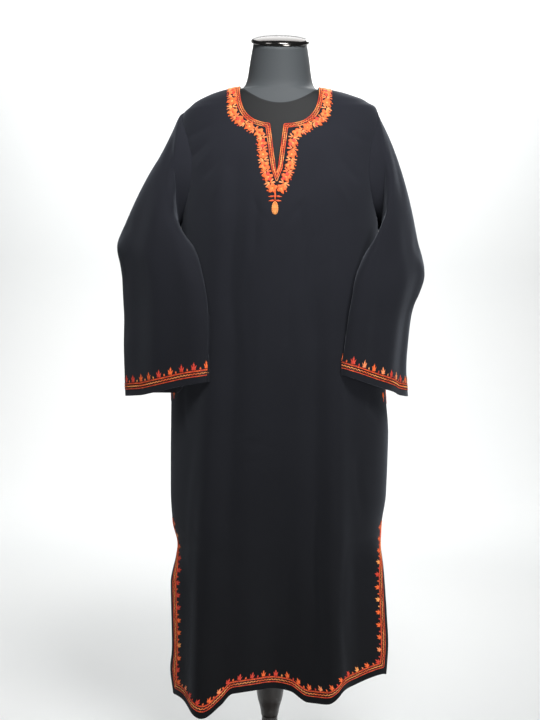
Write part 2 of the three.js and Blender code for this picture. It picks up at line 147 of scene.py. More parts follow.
# %% Heights, openings and reaches of the cloth
CLEARANCE = 0.9
WALL = 2.0
OUTSIDE = CLEARANCE + WALL
HEM = 206
SLIT_TOP = 522
UNDERARM = 1127
SHOULDER_TIP = 1362
TOP = 1400
HEM_LIFT_END = 460
HALF_SEAM = 0.15
SLIT_HEIGHTS = [HEM, 440, SLIT_TOP]
FRONT_SLITS = [smooth_curve(SLIT_HEIGHTS, [58, 52, 10]), smooth_curve(SLIT_HEIGHTS, [58, 50, 10])]
BACK_SLITS = [smooth_curve(SLIT_HEIGHTS, [24, 16, 10])] * 2
SLIT_FLARE = smooth_curve(SLIT_HEIGHTS, [14, 13, 0])
ARMHOLE_HALF_ANGLE = math.radians(30)
ARMHOLE_ROUNDNESS = 0.6

CLOTH_ROWS = [
    # height, left, right, front, back
    (206, 192, 232, 145, 134),
    (256, 199, 235, 146, 134),
    (296, 195, 236, 147, 134),
    (376, 197, 229, 148, 134),
    (426, 198, 223, 149, 134),
    (476, 188, 217, 150, 134),
    (496, 187, 215, 150, 134),
    (536, 198, 216, 150, 134),
    (600, 203, 224, 150, 136),
    (716, 204, 226, 149, 136),
    (800, 204, 219, 147, 133),
    (900, 199, 211, 144, 123),
    (1000, 193, 203, 141, 114),
    (1080, 189, 199, 139, 109),
    (1120, 188, 198, 138, 108),
    (1160, 188, 198, 135, 107),
    (1200, 189, 199, 128, 106),
    (1250, 191, 200, 114, 104),
    (1300, 193, 201, 96, 97),
    (1325, 193, 200, 86, 90),
    (1345, 191, 195, 80, 85),
    (1359, 186, 188, 76, 80.5),
    (1367, 176, 176, 74, 78),
    (1375, 165, 165, 71.5, 75),
    (1382, 149, 149, 69, 72),
    (1389, 129, 129, 67, 70),
    (1394, 105, 105, 66, 68),
    (1397, 82, 82, 65.5, 67),
    (1400, 62, 62, 65, 66),
]
heights, *reaches = zip(*CLOTH_ROWS)
LEFT, RIGHT, FRONT, BACK = (smooth_curve(heights, side) for side in reaches)

# How far the hem is lifted, across each panel from its left side (-1) to its right (1).
FRONT_HEM_LIFT = smooth_curve(
    [-1, -0.88, -0.72, -0.6, -0.49, -0.38, -0.2, 0, 0.18, 0.33, 0.45, 0.57, 0.69, 0.88, 1],
    [0, 0, -10, -23, -1, 22, 26, 27, 24, 6, 9, 32, 36, 48, 28],
)
BACK_HEM_LIFT = smooth_curve([-1, 0, 1], [19, 6, 29])
print("cloth reaches", float(FRONT(1120)), "mm to the front at the bust")

# %% [markdown]
# ## Folds and creases
#
# Three sizes of fold are kept apart. Long hanging folds fall from the chest to the hem and widen
# on the way down. Two puckers pull in beside the bust. Creases are the small ones: short soft
# troughs and ridges left by wear and by folding. Each one is placed where the cloth shows it, with
# its own length, width and depth, because creases made by one noise pattern all look alike.
# The hidden back has creases of the same kind.

# %% Folds that hang from the chest, as ridges and valleys
FOLD_HEIGHTS = [HEM, 600, 900, 1200]
FOLDS_END = 1300
FRONT_FOLDS = [
    # places across at the four heights, depths there, width
    ((-122, -119, -112, -105), (36, 18, 10, 4), 30),
    ((-95, -90, -82, -80), (-5, -8, -9, -6), 22),
    ((10, 5, 0, 0), (-42, -18, -5, 0), 60),
    ((90, 84, 80, 78), (-6, -9, -9, -5), 20),
    ((114, 113, 104, 102), (26, 16, 9, 4), 28),
]
BACK_FOLDS = [
    ((-122, -116, -108, -100), (15, 12, 8, 3), 28),
    ((-74, -70, -66, -64), (-10, -7, -4, -1), 22),
    ((-30, -28, -26, -24), (12, 9, 5, 1), 24),
    ((12, 10, 8, 8), (-11, -8, -4, -1), 20),
    ((58, 54, 48, 44), (13, 9, 5, 2), 24),
    ((138, 126, 112, 104), (16, 11, 7, 3), 28),
]
CHEST_PUCKERS = [
    # place across, top, bottom, depth, width
    (-42, 1215, 1035, -4, 10),
    (44, 1200, 1050, -4, 10),
]


def as_curves(folds):
    """Each fold's place and depth as curves over the height."""
    return [
        (smooth_curve(FOLD_HEIGHTS, places), smooth_curve(FOLD_HEIGHTS, depths), width)
        for places, depths, width in folds
    ]


FRONT_FOLD_CURVES = as_curves(FRONT_FOLDS)
BACK_FOLD_CURVES = as_curves(BACK_FOLDS)


def fold_reach(z, x, folds):
    """How far the hanging folds push the cloth out."""
    reach = 0
    for place, depth, width in folds:
        reach = reach + depth(z) * np.exp(-(((x - place(z)) / width) ** 2))
    return reach * (1 - ramp_up(z, FOLD_HEIGHTS[-1], FOLDS_END))


def pucker_reach(z, x):
    """How far the two puckers beside the bust pull the cloth in."""
    reach = 0
    for place, top, bottom, depth, width in CHEST_PUCKERS:
        along = np.clip((z - bottom) / (top - bottom), 0, 1)
        reach = reach + depth * np.sin(np.pi * along) ** 2 * np.exp(-(((x - place) / width) ** 2))
    return reach


print(len(FRONT_FOLDS), "folds hang in front and", len(BACK_FOLDS), "behind")

# %% Creases laid one by one
# Each is its start across and up, its end across and up, its depth and its width.
FRONT_CREASES = [
    (-66, 719, -22, 712, -2.6, 6), (-24, 713, 9, 699, -1.8, 5), (-60, 676, -6, 690, -1.7, 6),
    (-40, 655, 12, 662, 1.2, 9), (176, 790, 204, 757, -2.4, 6), (186, 812, 214, 790, 1.6, 8),
    (-172, 1258, -136, 1290, -2.2, 6), (-158, 1236, -118, 1284, 1.8, 7),
    (-146, 1215, -104, 1262, -2.0, 7), (-178, 1304, -128, 1322, -1.6, 6),
    (-120, 1180, -96, 1232, 1.6, 9), (48, 1172, 18, 1120, -1.8, 6), (-48, 1178, -20, 1128, -1.3, 6),
    (122, 1312, 170, 1290, -1.6, 7), (112, 1262, 158, 1212, -1.9, 8), (98, 1230, 132, 1170, 1.5, 8),
    (-82, 1120, -86, 930, -2.4, 8), (-62, 1090, -58, 880, 1.8, 9), (66, 1105, 70, 905, -2.6, 7),
    (86, 1130, 88, 950, 2.0, 8), (30, 1060, 36, 840, -1.5, 9), (-22, 1010, -26, 800, 1.4, 10),
    (-106, 640, -112, 330, -2.2, 8), (-138, 700, -146, 430, 1.8, 10), (-84, 560, -80, 300, 1.6, 12),
    (92, 640, 98, 330, -2.8, 7), (110, 620, 118, 320, 2.2, 9), (132, 520, 140, 280, -1.6, 9),
    (40, 520, 52, 290, -1.6, 12), (-34, 470, -44, 270, 1.5, 12), (-176, 840, -166, 720, -1.8, 8),
    (160, 700, 176, 560, -1.6, 9), (-150, 560, -120, 520, -1.2, 7), (150, 460, 186, 430, -1.2, 7),
]
BACK_CREASES = [
    (-160, 1240, -118, 1282, -2.2, 7), (-150, 1206, -104, 1248, 1.8, 8), (-60, 1250, 40, 1236, -1.4, 8),
    (-30, 1208, 70, 1196, 1.3, 9), (118, 1288, 162, 1240, -2.0, 7), (96, 1216, 150, 1172, 1.6, 8),
    (-96, 1100, -100, 900, -2.2, 8), (-10, 1090, -14, 880, 1.6, 10), (84, 1080, 88, 870, -2.2, 8),
    (-70, 742, -6, 728, -2.0, 6), (10, 716, 78, 730, -1.6, 6), (-130, 700, -138, 440, 1.8, 10),
    (-52, 640, -50, 380, -1.8, 9), (34, 620, 38, 360, -1.8, 9), (98, 660, 106, 400, 1.8, 9),
    (-96, 420, -100, 270, -1.6, 10), (80, 400, 84, 262, -1.5, 10), (150, 520, 190, 480, -1.4, 7),
]


def crease_reach(u, v, creases, bow, fade):
    """How far creases stand out at (u, v): each is deepest in its middle and fades to its ends."""
    reach = 0
    for u0, v0, u1, v1, depth, width in creases:
        length = math.hypot(u1 - u0, v1 - v0)
        along = ((u - u0) * (u1 - u0) + (v - v0) * (v1 - v0)) / length
        bend = bow * length * np.sin(np.pi * np.clip(along / length, 0, 1))
        beside = ((u - u0) * (v1 - v0) - (v - v0) * (u1 - u0)) / length - bend
        start, full, waning, end = (share * length for share in fade)
        share = ramp_up(along, start, full) * (1 - ramp_up(along, waning, end))
        reach = reach + depth * share * np.exp(-((beside / width) ** 2))
    return reach


print(len(FRONT_CREASES), "creases in front,", len(BACK_CREASES), "behind")

# %% The trunk's surface, named by height and angle
SHOULDER_HALF = 190
CLOTH_DROP = (-11, 8)
DROP_HEIGHTS = (1200, 1340)
# A crease's bow, as a share of its length, and where along it the crease begins, is full, wanes
# and ends.
TRUNK_BOW = 0.04
TRUNK_FADE = (-0.15, 0.3, 0.7, 1.15)


def shoulder_drop(x, z, drop):
    """One shoulder of the form is lower than the other, and the cloth follows it."""
    out = np.minimum(np.abs(x) / SHOULDER_HALF, 1) ** 4
    return np.where(x < 0, drop[0], drop[1]) * out * ramp_up(z, *DROP_HEIGHTS)


def cloth_surface(z, angle):
    """Points on the trunk's surface, before the cloth's thickness."""
    z, angle = np.broadcast_arrays(np.asarray(z, float), np.asarray(angle, float))
    across = np.sin(angle)
    ahead = np.cos(angle)
    half = np.where(across < 0, LEFT(z), RIGHT(z))
    reach = np.where(ahead > 0, FRONT(z), BACK(z))
    x = half * across
    fold = np.zeros(z.shape)
    crease = np.zeros(z.shape)
    for side, folds, creases in (
        (ahead > 0, FRONT_FOLD_CURVES, FRONT_CREASES),
        (ahead <= 0, BACK_FOLD_CURVES, BACK_CREASES),
    ):
        if side.any():
            fold[side] = fold_reach(z[side], x[side], folds)
            crease[side] = crease_reach(x[side], z[side], creases, TRUNK_BOW, TRUNK_FADE)
    flare = SLIT_FLARE(z) * ramp_up(np.abs(across), 0.7, 0.94)
    fold = fold + np.where(ahead > 0, pucker_reach(z, x) + flare, 0)
    stand = fold * ramp_up(np.abs(ahead), 0, 0.4) + crease * ramp_up(np.abs(ahead), 0.02, 0.2)
    outward = unit(np.stack([across / half, -ahead / reach, 0 * z], -1))
    point = np.stack([x, -reach * ahead, z], -1) + outward * stand[..., None]
    point[..., 2] += shoulder_drop(point[..., 0], z, CLOTH_DROP)
    return point


def cloth_point(z, angle, distance):
    """Points off the trunk's surface, square to it."""
    around = cloth_surface(z, angle + 0.002) - cloth_surface(z, angle - 0.002)
    up = cloth_surface(z + 0.4, angle) - cloth_surface(z - 0.4, angle)
    return cloth_surface(z, angle) + unit(np.cross(around, up)) * distance


def armhole_half_angle(z):
    """Half of the armhole's opening at a height."""
    up = np.clip((z - UNDERARM) / (SHOULDER_TIP - UNDERARM), 0, 1)
    return ARMHOLE_HALF_ANGLE * np.sin(np.pi * up).clip(0) ** ARMHOLE_ROUNDNESS


def edge_angle(z, reach, slit):
    """The angle between a panel's side edge and the side line: seam, armhole or slit."""
    slit_angle = np.arcsin(slit(z) / reach)
    seam_angle = np.maximum(armhole_half_angle(z), np.arcsin(HALF_SEAM / reach))
    return np.where(z < SLIT_TOP, slit_angle, seam_angle)


side_point = cloth_point(800.0, math.pi / 2, OUTSIDE)
print("the side seam at the hip is", round(float(side_point[0])), "mm from the middle")

# %% [markdown]
# ## Cutting the cloth
#
# Each panel could be one flat sheet with a Solidify modifier. Here the sheet's two faces are laid
# as grids, one on each side of the cloth's middle, and joined by a rim along every open edge. That
# keeps the wall even where the cloth bends hard over the shoulder. The grid's rows and columns
# also give a map in real metres, so that the weave runs along and across each piece as it was cut.


# %% Helpers that make cloth
def clear_selection():
    """Deselects everything, because an operator acts on all that is selected."""
    if bpy.context.object is not None and bpy.context.object.mode != "OBJECT":
        bpy.ops.object.mode_set(mode="OBJECT")
    for o in bpy.context.view_layer.objects:
        o.select_set(False)


def pick(piece):
    """Selects one piece alone."""
    clear_selection()
    piece.select_set(True)
    bpy.context.view_layer.objects.active = piece


def smooth_shading(piece, degrees):
    """Smooth faces, with edges kept sharp where they turn by more than the angle."""
    pick(piece)
    bpy.ops.object.shade_smooth_by_angle(angle=math.radians(degrees))


def new_mesh(name, points, faces):
    """A new piece from points in millimetres and its faces."""
    mesh = bpy.data.meshes.new(name)
    mesh.from_pydata((np.asarray(points) * MM).tolist(), [], faces)
    piece = bpy.data.objects.new(name, mesh)
    bpy.context.scene.collection.objects.link(piece)
    return piece


def lengths_along(grid, axis):
    """Metres along the rows or columns of a grid, from its first point."""
    steps = np.linalg.norm(np.diff(grid, axis=axis), axis=-1)
    start = np.zeros_like(np.take(steps, [0], axis=axis))
    return np.concatenate([start, np.cumsum(steps, axis=axis)], axis=axis) * MM


def cloth_shell(name, outer, inner, is_tube):
    """A closed wall between two grids of points, with the cut's own flat map."""
    rows, columns = outer.shape[:2]
    points = np.concatenate([outer.reshape(-1, 3), inner.reshape(-1, 3)])
    across = lengths_along(np.concatenate([outer, outer[:, :1]], axis=1), 1)
    along = lengths_along(outer, 0).mean(axis=1)
    faces = []
    corners = []

    def quad(*places):
        faces.append([side * rows * columns + r * columns + c % columns for side, r, c in places])
        corners.extend((across[r, c], along[r]) for _, r, c in places)

    last = columns if is_tube else columns - 1
    for r in range(rows - 1):
        for c in range(last):
            quad((0, r, c), (0, r, c + 1), (0, r + 1, c + 1), (0, r + 1, c))
            quad((1, r, c), (1, r + 1, c), (1, r + 1, c + 1), (1, r, c + 1))
        if not is_tube:
            quad((1, r, 0), (0, r, 0), (0, r + 1, 0), (1, r + 1, 0))
            quad((0, r, last), (1, r, last), (1, r + 1, last), (0, r + 1, last))
    for c in range(last):
        quad((1, 0, c), (1, 0, c + 1), (0, 0, c + 1), (0, 0, c))
        end = rows - 1
        quad((0, end, c), (0, end, c + 1), (1, end, c + 1), (1, end, c))
    piece = new_mesh(name, points, faces)
    cut_map = piece.data.uv_layers.new(name="cut")
    cut_map.data.foreach_set("uv", np.array(corners, np.float32).ravel())
    return piece


def surface_tree(outer, is_tube):
    """What the stitches are laid on: the outer face of a piece, as a tree for quick searches."""
    rows, columns = outer.shape[:2]
    last = columns if is_tube else columns - 1
    faces = [
        [r * columns + c, r * columns + (c + 1) % columns, (r + 1) * columns + (c + 1) % columns,
         (r + 1) * columns + c]
        for r in range(rows - 1)
        for c in range(last)
    ]
    return BVHTree.FromPolygons(outer.reshape(-1, 3).tolist(), faces)


print("helpers ready")

# %% [markdown]
# ## Front and back
#
# The front and the back are each one length of cloth from hem to shoulder. Their side edges are
# the open slit, the side seam, the armhole's curve and the shoulder seam, one above the other. The
# neckline is cut out at the end, as a tailor cuts it once the shoulders are joined: a rounded
# square with a narrow slit in front, and a shallow curve behind.

# %% Lay the two panels
SKIRT_ROWS = 120
ARMHOLE_ROWS = 64
SHOULDER_ROWS = 26


def panel_levels():
    """Heights of the grid's rows, closest together at both ends of the armhole."""
    skirt = np.linspace(HEM, UNDERARM, SKIRT_ROWS + 1)[:-1]
    turn = np.pi * np.arange(ARMHOLE_ROWS + 1) / ARMHOLE_ROWS
    armhole = UNDERARM + (SHOULDER_TIP - UNDERARM) * (1 - np.cos(turn)) / 2
    shoulder = SHOULDER_TIP + (TOP - SHOULDER_TIP) * np.sin(
        0.5 * np.pi * np.arange(1, SHOULDER_ROWS + 1) / SHOULDER_ROWS
    )
    return np.concatenate([skirt, armhole, shoulder])


def lifted(z, angle, lift):
    """A height raised by the hem's wave, which fades out above the hem."""
    return z + lift(np.sin(angle)) * (1 - ramp_up(z, HEM, HEM_LIFT_END))


def panel(name, middle, columns, reach, slits, lift):
    """A front or back panel from its hem to its shoulders, with its first and last slit."""
    z = panel_levels()[:, None]
    first, last = (np.pi / 2 - edge_angle(z, reach(z), slit) for slit in slits)
    turn = np.linspace(-1, 1, columns + 1)[None, :]
    angle = middle + turn * np.where(turn < 0, first, last)
    z = lifted(np.broadcast_to(z, angle.shape), angle, lift)
    outer = cloth_point(z, angle, OUTSIDE)
    inner = cloth_point(z, angle, CLEARANCE)
    return cloth_shell(name, outer, inner, False), surface_tree(outer, False)


front, front_tree = panel("pheran_front", 0, 130, FRONT, FRONT_SLITS, FRONT_HEM_LIFT)
back, back_tree = panel("pheran_back", math.pi, 110, BACK, BACK_SLITS, BACK_HEM_LIFT)
print("front faces:", len(front.data.polygons), "back faces:", len(back.data.polygons))

# %% Cut the neckline
NECK_HALF = 76
NECK_TOP = 1402
NECK_DEPTH = 82
BACK_NECK_DEPTH = 25
SQUARENESS = 2.8
CUT_ABOVE = 30
CUT_REACH = 220
SLIT_LEFT = -17
SLIT_RIGHT = 8.5
SLIT_TIP = (-3, 1225)


def neck_curve(half, depth, turn):
    """A rounded square: half its width, its depth, and a turn from the right (0) to the left."""
    power = 2 / SQUARENESS
    x = half * np.sign(np.cos(turn)) * np.abs(np.cos(turn)) ** power
    return x, NECK_TOP - depth * np.abs(np.sin(turn)) ** power


def neckline(depth, has_slit):
    """The neckline's outline seen from the front, as (across, height)."""
    outline = [(NECK_HALF, NECK_TOP + CUT_ABOVE)]
    slit = [(SLIT_RIGHT, NECK_TOP - depth), (SLIT_TIP[0] + 1, SLIT_TIP[1])]
    slit += [(SLIT_TIP[0] - 1, SLIT_TIP[1]), (SLIT_LEFT, NECK_TOP - depth)]
    for turn in np.linspace(0, np.pi, 65):
        x, z = neck_curve(NECK_HALF, depth, turn)
        if not has_slit or x > SLIT_RIGHT + 1 or x < SLIT_LEFT - 1:
            outline.append((float(x), float(z)))
        elif slit:
            outline += slit
            slit = []
    return outline + [(-NECK_HALF, NECK_TOP + CUT_ABOVE)]


def cut_neckline(piece, outline, near, far):
    """Cuts the outline out of a panel with a block that reaches from near to far."""
    count = len(outline)
    points = [(x, y, z) for y in (near, far) for x, z in outline]
    faces = [list(range(count)), list(range(2 * count - 1, count - 1, -1))]
    for i in range(count):
        j = (i + 1) % count
        faces.append([j, i, i + count, j + count])
    cutter = new_mesh("cutter", points, faces)
    pick(cutter)
    bpy.ops.object.mode_set(mode="EDIT")
    bpy.ops.mesh.select_all(action="SELECT")
    bpy.ops.mesh.normals_make_consistent(inside=False)
    bpy.ops.object.mode_set(mode="OBJECT")
    cut = piece.modifiers.new("neckline", "BOOLEAN")
    cut.object = cutter
    cut.operation = "DIFFERENCE"
    cut.solver = "EXACT"
    pick(piece)
    bpy.ops.object.modifier_apply(modifier=cut.name)
    bpy.data.objects.remove(cutter)


cut_neckline(front, neckline(NECK_DEPTH, True), -CUT_REACH, 1)
cut_neckline(back, neckline(BACK_NECK_DEPTH, False), -1, CUT_REACH)
smooth_shading(front, 40)
smooth_shading(back, 40)
print("faces after the cut:", len(front.data.polygons), len(back.data.polygons))

# %% [markdown]
# ## Sleeves
#
# A sleeve is a wide tube with one long seam underneath. No arm fills it, so it hangs half flat,
# pushed out at the elbow, and it keeps a pressed fold down its front. It is laid ring by ring:
# each ring is an ellipse between an outer and an inner edge, and a smooth curve runs through all
# the rings. The first ring is the armhole's own edge, so that the seam closes all the way round.

# %% Rings of the two sleeves
LEFT_SLEEVE = [
    # outer edge across, back, up; inner edge across, back, up; how far front and back stand out
    (-196, 1, 1345, -195, -6, 1126, 60, 56),
    (-212, 2, 1310, -192, -24, 1117, 57, 52),
    (-232, 3, 1266, -185, -45, 1112, 56, 46),
    (-254, 4, 1224, -175, -66, 1102, 52, 40),
    (-276, 4, 1178, -162, -86, 1085, 48, 34),
    (-298, 4, 1130, -151, -100, 1060, 45, 30),
    (-316, 4, 1092, -143, -110, 1032, 42, 27),
    (-310, 2, 1052, -136, -118, 1002, 40, 25),
    (-303, 0, 1000, -131, -124, 968, 38, 24),
    (-300, -3, 940, -129, -128, 930, 36, 23),
    (-299, -6, 880, -129, -131, 892, 35, 22),
    (-297, -8, 832, -129, -132, 852, 34, 22),
    (-295, -10, 790, -129, -133, 816, 34, 22),
]
RIGHT_SLEEVE = [
    (200, 1, 1346, 205, -6, 1126, 60, 56),
    (214, 2, 1318, 202, -24, 1117, 57, 52),
    (228, 4, 1284, 197, -46, 1111, 56, 46),
    (241, 6, 1244, 187, -68, 1100, 52, 40),
    (253, 8, 1200, 173, -88, 1082, 48, 34),
    (264, 10, 1156, 161, -102, 1056, 45, 30),
    (276, 14, 1104, 151, -113, 1026, 42, 27),
    (293, 18, 1047, 145, -121, 992, 43, 25),
    (283, 22, 1005, 140, -127, 962, 44, 24),
    (264, 26, 955, 136, -130, 928, 44, 23),
    (257, 29, 900, 132, -133, 894, 43, 22),
    (256, 31, 850, 129, -134, 864, 42, 22),
    (262, 32, 804, 128, -135, 842, 42, 22),
]
SLEEVE_CLEARANCE = 3
SLEEVE_SIDES = 96
ROWS_PER_RING = 9
MM_PER_RADIAN = 100
MM_PER_RING = 45
SLEEVE_FADE = (-0.1, 0.3, 0.75, 1.12)

# Creases on a sleeve: start and end, each in degrees round and rings down, depth, and width in
# degrees. The turn starts at the outer edge and goes over the front to the inner edge.
LEFT_SLEEVE_CREASES = [
    (96, 2.5, 90, 12.5, 4.5, 12), (66, 3.0, 64, 11.5, -3.0, 13), (124, 4.0, 120, 12.0, -3.0, 12),
    (10, 6.2, 54, 5.0, -3.0, 12), (8, 7.2, 50, 7.8, -2.4, 11), (14, 8.6, 44, 9.6, -1.6, 10),
    (40, 0.6, 84, 2.6, -2.2, 11), (100, 0.4, 110, 2.4, 2.0, 12), (140, 1.2, 118, 3.6, -2.2, 11),
    (300, 1.0, 250, 3.6, -2.4, 14), (346, 6.2, 300, 6.8, -2.4, 13), (262, 4.0, 268, 12.0, 3.0, 14),
    (232, 5.0, 236, 11.0, -2.2, 12),
]
RIGHT_SLEEVE_CREASES = [
    (92, 4.5, 96, 12.5, 4.5, 12), (62, 6.0, 68, 12.0, -3.2, 12), (124, 3.0, 126, 12.0, -3.0, 12),
    (12, 7.2, 56, 6.0, -3.0, 12), (10, 8.0, 52, 9.0, -2.6, 11), (34, 1.0, 70, 4.2, -2.0, 12),
    (66, 0.4, 92, 3.2, 2.2, 12), (146, 1.0, 120, 3.0, -2.2, 11), (302, 1.0, 256, 3.2, -2.4, 14),
    (344, 7.0, 298, 7.4, -2.4, 13), (258, 4.5, 262, 12.0, 3.0, 14), (228, 5.0, 232, 11.0, -2.2, 12),
]


def clear_of_trunk(points):
    """Moves points out until they clear the trunk's cloth."""
    x, y, z = np.moveaxis(points, -1, 0)
    half = np.where(x < 0, LEFT(z), RIGHT(z))
    reach = np.where(y < 0, FRONT(z), BACK(z))
    limit = cloth_point(z, np.arctan2(x / half, -y / reach), OUTSIDE + SLEEVE_CLEARANCE)
    limit[..., 2] = z
    is_inside = np.hypot(x, y) < np.hypot(limit[..., 0], limit[..., 1])
    return np.where(is_inside[..., None], limit, points)


def armhole_ring(side, turn, distance):
    """The armhole's edge: the sleeve's first ring, a hair smaller than the panels' opening."""
    level = UNDERARM + (SHOULDER_TIP - UNDERARM) * (1 + np.cos(turn)) / 2
    opening = armhole_half_angle(level) * 0.995
    middle = (UNDERARM + SHOULDER_TIP) / 2
    ahead = np.where(turn <= np.pi, -opening, opening)
    return cloth_point(level + (middle - level) * 0.005, side * (np.pi / 2 + ahead), distance)


def sleeve_rings(side, rows, turn):
    """The listed rings, each an ellipse between its outer and inner edge."""
    rings = [armhole_ring(side, turn, OUTSIDE)]
    for row in rows:
        outer_edge, inner_edge = np.array(row[:3]), np.array(row[3:6])
        spread = (outer_edge - inner_edge) / 2
        along = unit(spread)
        forward = unit(np.array([0, -1, 0]) + along * along[1])
        stand = np.sin(turn) * np.where(turn <= np.pi, row[6], row[7])
        ring = (outer_edge + inner_edge) / 2 + spread * np.cos(turn)[:, None]
        rings.append(clear_of_trunk(ring + forward * stand[:, None]))
    return np.array(rings)


def through_rings(rings):
    """A smooth surface through the rings, with each point's tangent from its neighbours."""
    gap = np.linalg.norm(np.diff(rings, axis=0), axis=-1).mean(axis=1)
    place = np.concatenate([[0], np.cumsum(gap)])
    rise = np.diff(rings, axis=0) / gap[:, None, None]
    share = (gap[:-1] / (gap[:-1] + gap[1:]))[:, None, None]
    middle = rise[:-1] * (1 - share) + rise[1:] * share
    tangents = np.concatenate([rise[:1], middle, rise[-1:]])
    wanted = np.linspace(0, len(rings) - 1, ROWS_PER_RING * (len(rings) - 1) + 1)
    i = np.minimum(wanted.astype(int), len(rings) - 2)
    t = (wanted - i)[:, None, None]
    span = np.diff(place)[i][:, None, None]
    return cubic(rings[i], rings[i + 1], tangents[i], tangents[i + 1], span, t), wanted - 1


def sleeve_crease_reach(turn, ring, creases):
    """How far the creases stand out over a sleeve's turn and ring."""
    per_degree = math.radians(MM_PER_RADIAN)
    scales = (per_degree, MM_PER_RING, per_degree, MM_PER_RING, 1, per_degree)
    rows = [[value * scale for value, scale in zip(row, scales)] for row in creases]
    return crease_reach(turn * MM_PER_RADIAN, ring * MM_PER_RING, rows, 0, SLEEVE_FADE)


# How far the cuff's layers are lifted: front outer, front inner, back outer and back inner edge.
CUFF_LIFTS = {-1: (0, 11, 0, -8), 1: (-5, 2, -7, -9)}


def cuff_lift(surface, ring, side):
    """The worn cuff is not level: its layers rise and fall a little towards the open end."""
    middle = surface.mean(axis=1, keepdims=True)
    inner = ramp_up(side * (middle - surface)[..., 0], -60, 60)
    front = ramp_up((middle - surface)[..., 1], -13, 13)
    front_outer, front_inner, back_outer, back_inner = CUFF_LIFTS[side]
    lift = front * (front_outer + (front_inner - front_outer) * inner)
    lift = lift + (1 - front) * (back_outer + (back_inner - back_outer) * inner)
    return lift * ramp_up(ring[:, None], ring[-1] - 1.6, ring[-1])


def sleeve(name, side, rows, creases):
    """A sleeve from its armhole to its cuff."""
    turn = 2 * np.pi * np.arange(SLEEVE_SIDES) / SLEEVE_SIDES
    surface, ring = through_rings(sleeve_rings(side, rows, turn))
    surface[..., 2] += cuff_lift(surface, ring, side)
    around = np.roll(surface, -1, axis=1) - np.roll(surface, 1, axis=1)
    along = np.gradient(surface, axis=0)
    outward = unit(np.cross(around, along)) * side
    reach = sleeve_crease_reach(turn[None, :], ring[:, None], creases)
    reach = reach * ramp_up(ring[:, None], -0.8, 0.6)
    outer = surface + outward * reach[..., None]
    inner = outer - outward * WALL
    inner[0] = armhole_ring(side, turn, CLEARANCE)
    if side < 0:
        outer, inner = outer[:, ::-1], inner[:, ::-1]
    piece = cloth_shell(name, outer, inner, True)
    smooth_shading(piece, 45)
    return piece, surface_tree(outer, True), outer


left, left_tree, left_grid = sleeve("pheran_left_sleeve", -1, LEFT_SLEEVE, LEFT_SLEEVE_CREASES)
right, right_tree, right_grid = sleeve("pheran_right_sleeve", 1, RIGHT_SLEEVE, RIGHT_SLEEVE_CREASES)
print("sleeve faces:", len(left.data.polygons), len(right.data.polygons))

# %% [markdown]
# ## The dress form
#
# The form is a limbless body of smooth covered shell with a neck that ends under a bright cap. Its
# construction solid already has the right shape in few faces, so a merged copy of it is smoothed
# with a Subdivision Surface modifier. The rims at both ends are creased first, because the
# modifier would otherwise round the neck away from the cap that it carries.

# %% Smooth the form
# The neck's rim is tilted to the front; its middle is given from the post's axis and from the floor.
NECK_TILT = math.radians(18.5)
RIM_BACK = -14
RIM_HEIGHT = 1488
FORM_BOTTOM = 690


def copy_of_node(name, node):
    """A merged copy of a construction node, as a piece of its own."""
    piece = frame["nodes"][node].copy()
    piece.data = piece.data.copy()
    piece.name = name
    piece.data.name = name
    for key in list(piece.keys()):
        del piece[key]
    piece.parent = None
    bpy.context.scene.collection.objects.link(piece)
    pick(piece)
    bpy.ops.object.mode_set(mode="EDIT")
    bpy.ops.mesh.select_all(action="SELECT")
    bpy.ops.mesh.remove_doubles(threshold=0.00001)
    bpy.ops.mesh.tris_convert_to_quads(face_threshold=0.7, shape_threshold=0.7)
    bpy.ops.object.mode_set(mode="OBJECT")
    return piece


def subdivide(piece, levels):
    """Smooths a piece and keeps the result."""
    smooth = piece.modifiers.new("smooth", "SUBSURF")
    smooth.levels = levels
    smooth.render_levels = levels
    pick(piece)
    bpy.ops.object.modifier_apply(modifier=smooth.name)


def crease_rims(piece, is_rim):
    """Marks the edges whose two ends are on a rim, so that smoothing keeps them."""
    crease = piece.data.attributes.new("crease_edge", "FLOAT", "EDGE")
    points = [v.co for v in piece.data.vertices]
    for edge in piece.data.edges:
        a, b = (points[i] for i in edge.vertices)
        if is_rim(a) and is_rim(b):
            crease.data[edge.index].value = 1.0


form = copy_of_node("form_body", "dress_form")


def on_form_rim(point):
    """True on the form's flat bottom and on its tilted neck rim."""
    rim = RIM_HEIGHT * MM + (point.y - RIM_BACK * MM) * math.tan(NECK_TILT)
    return abs(point.z - FORM_BOTTOM * MM) < 0.5 * MM or abs(point.z - rim) < 2 * MM


crease_rims(form, on_form_rim)
subdivide(form, 2)
smooth_shading(form, 50)
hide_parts("dress_form")
print("form faces:", len(form.data.polygons))

# %% [markdown]
# ## Turned pieces
#
# The cap, the post and the base are turned on a lathe, so each is one outline carried round an
# axis. A Spin of the outline would do it. Here a disc is extruded ring by ring and resized at each
# step, which follows the outline just as well and shows how far the shape has come at every step.

# %% Turn a disc into the cap, the post and the base
TURNED_SIDES = 64


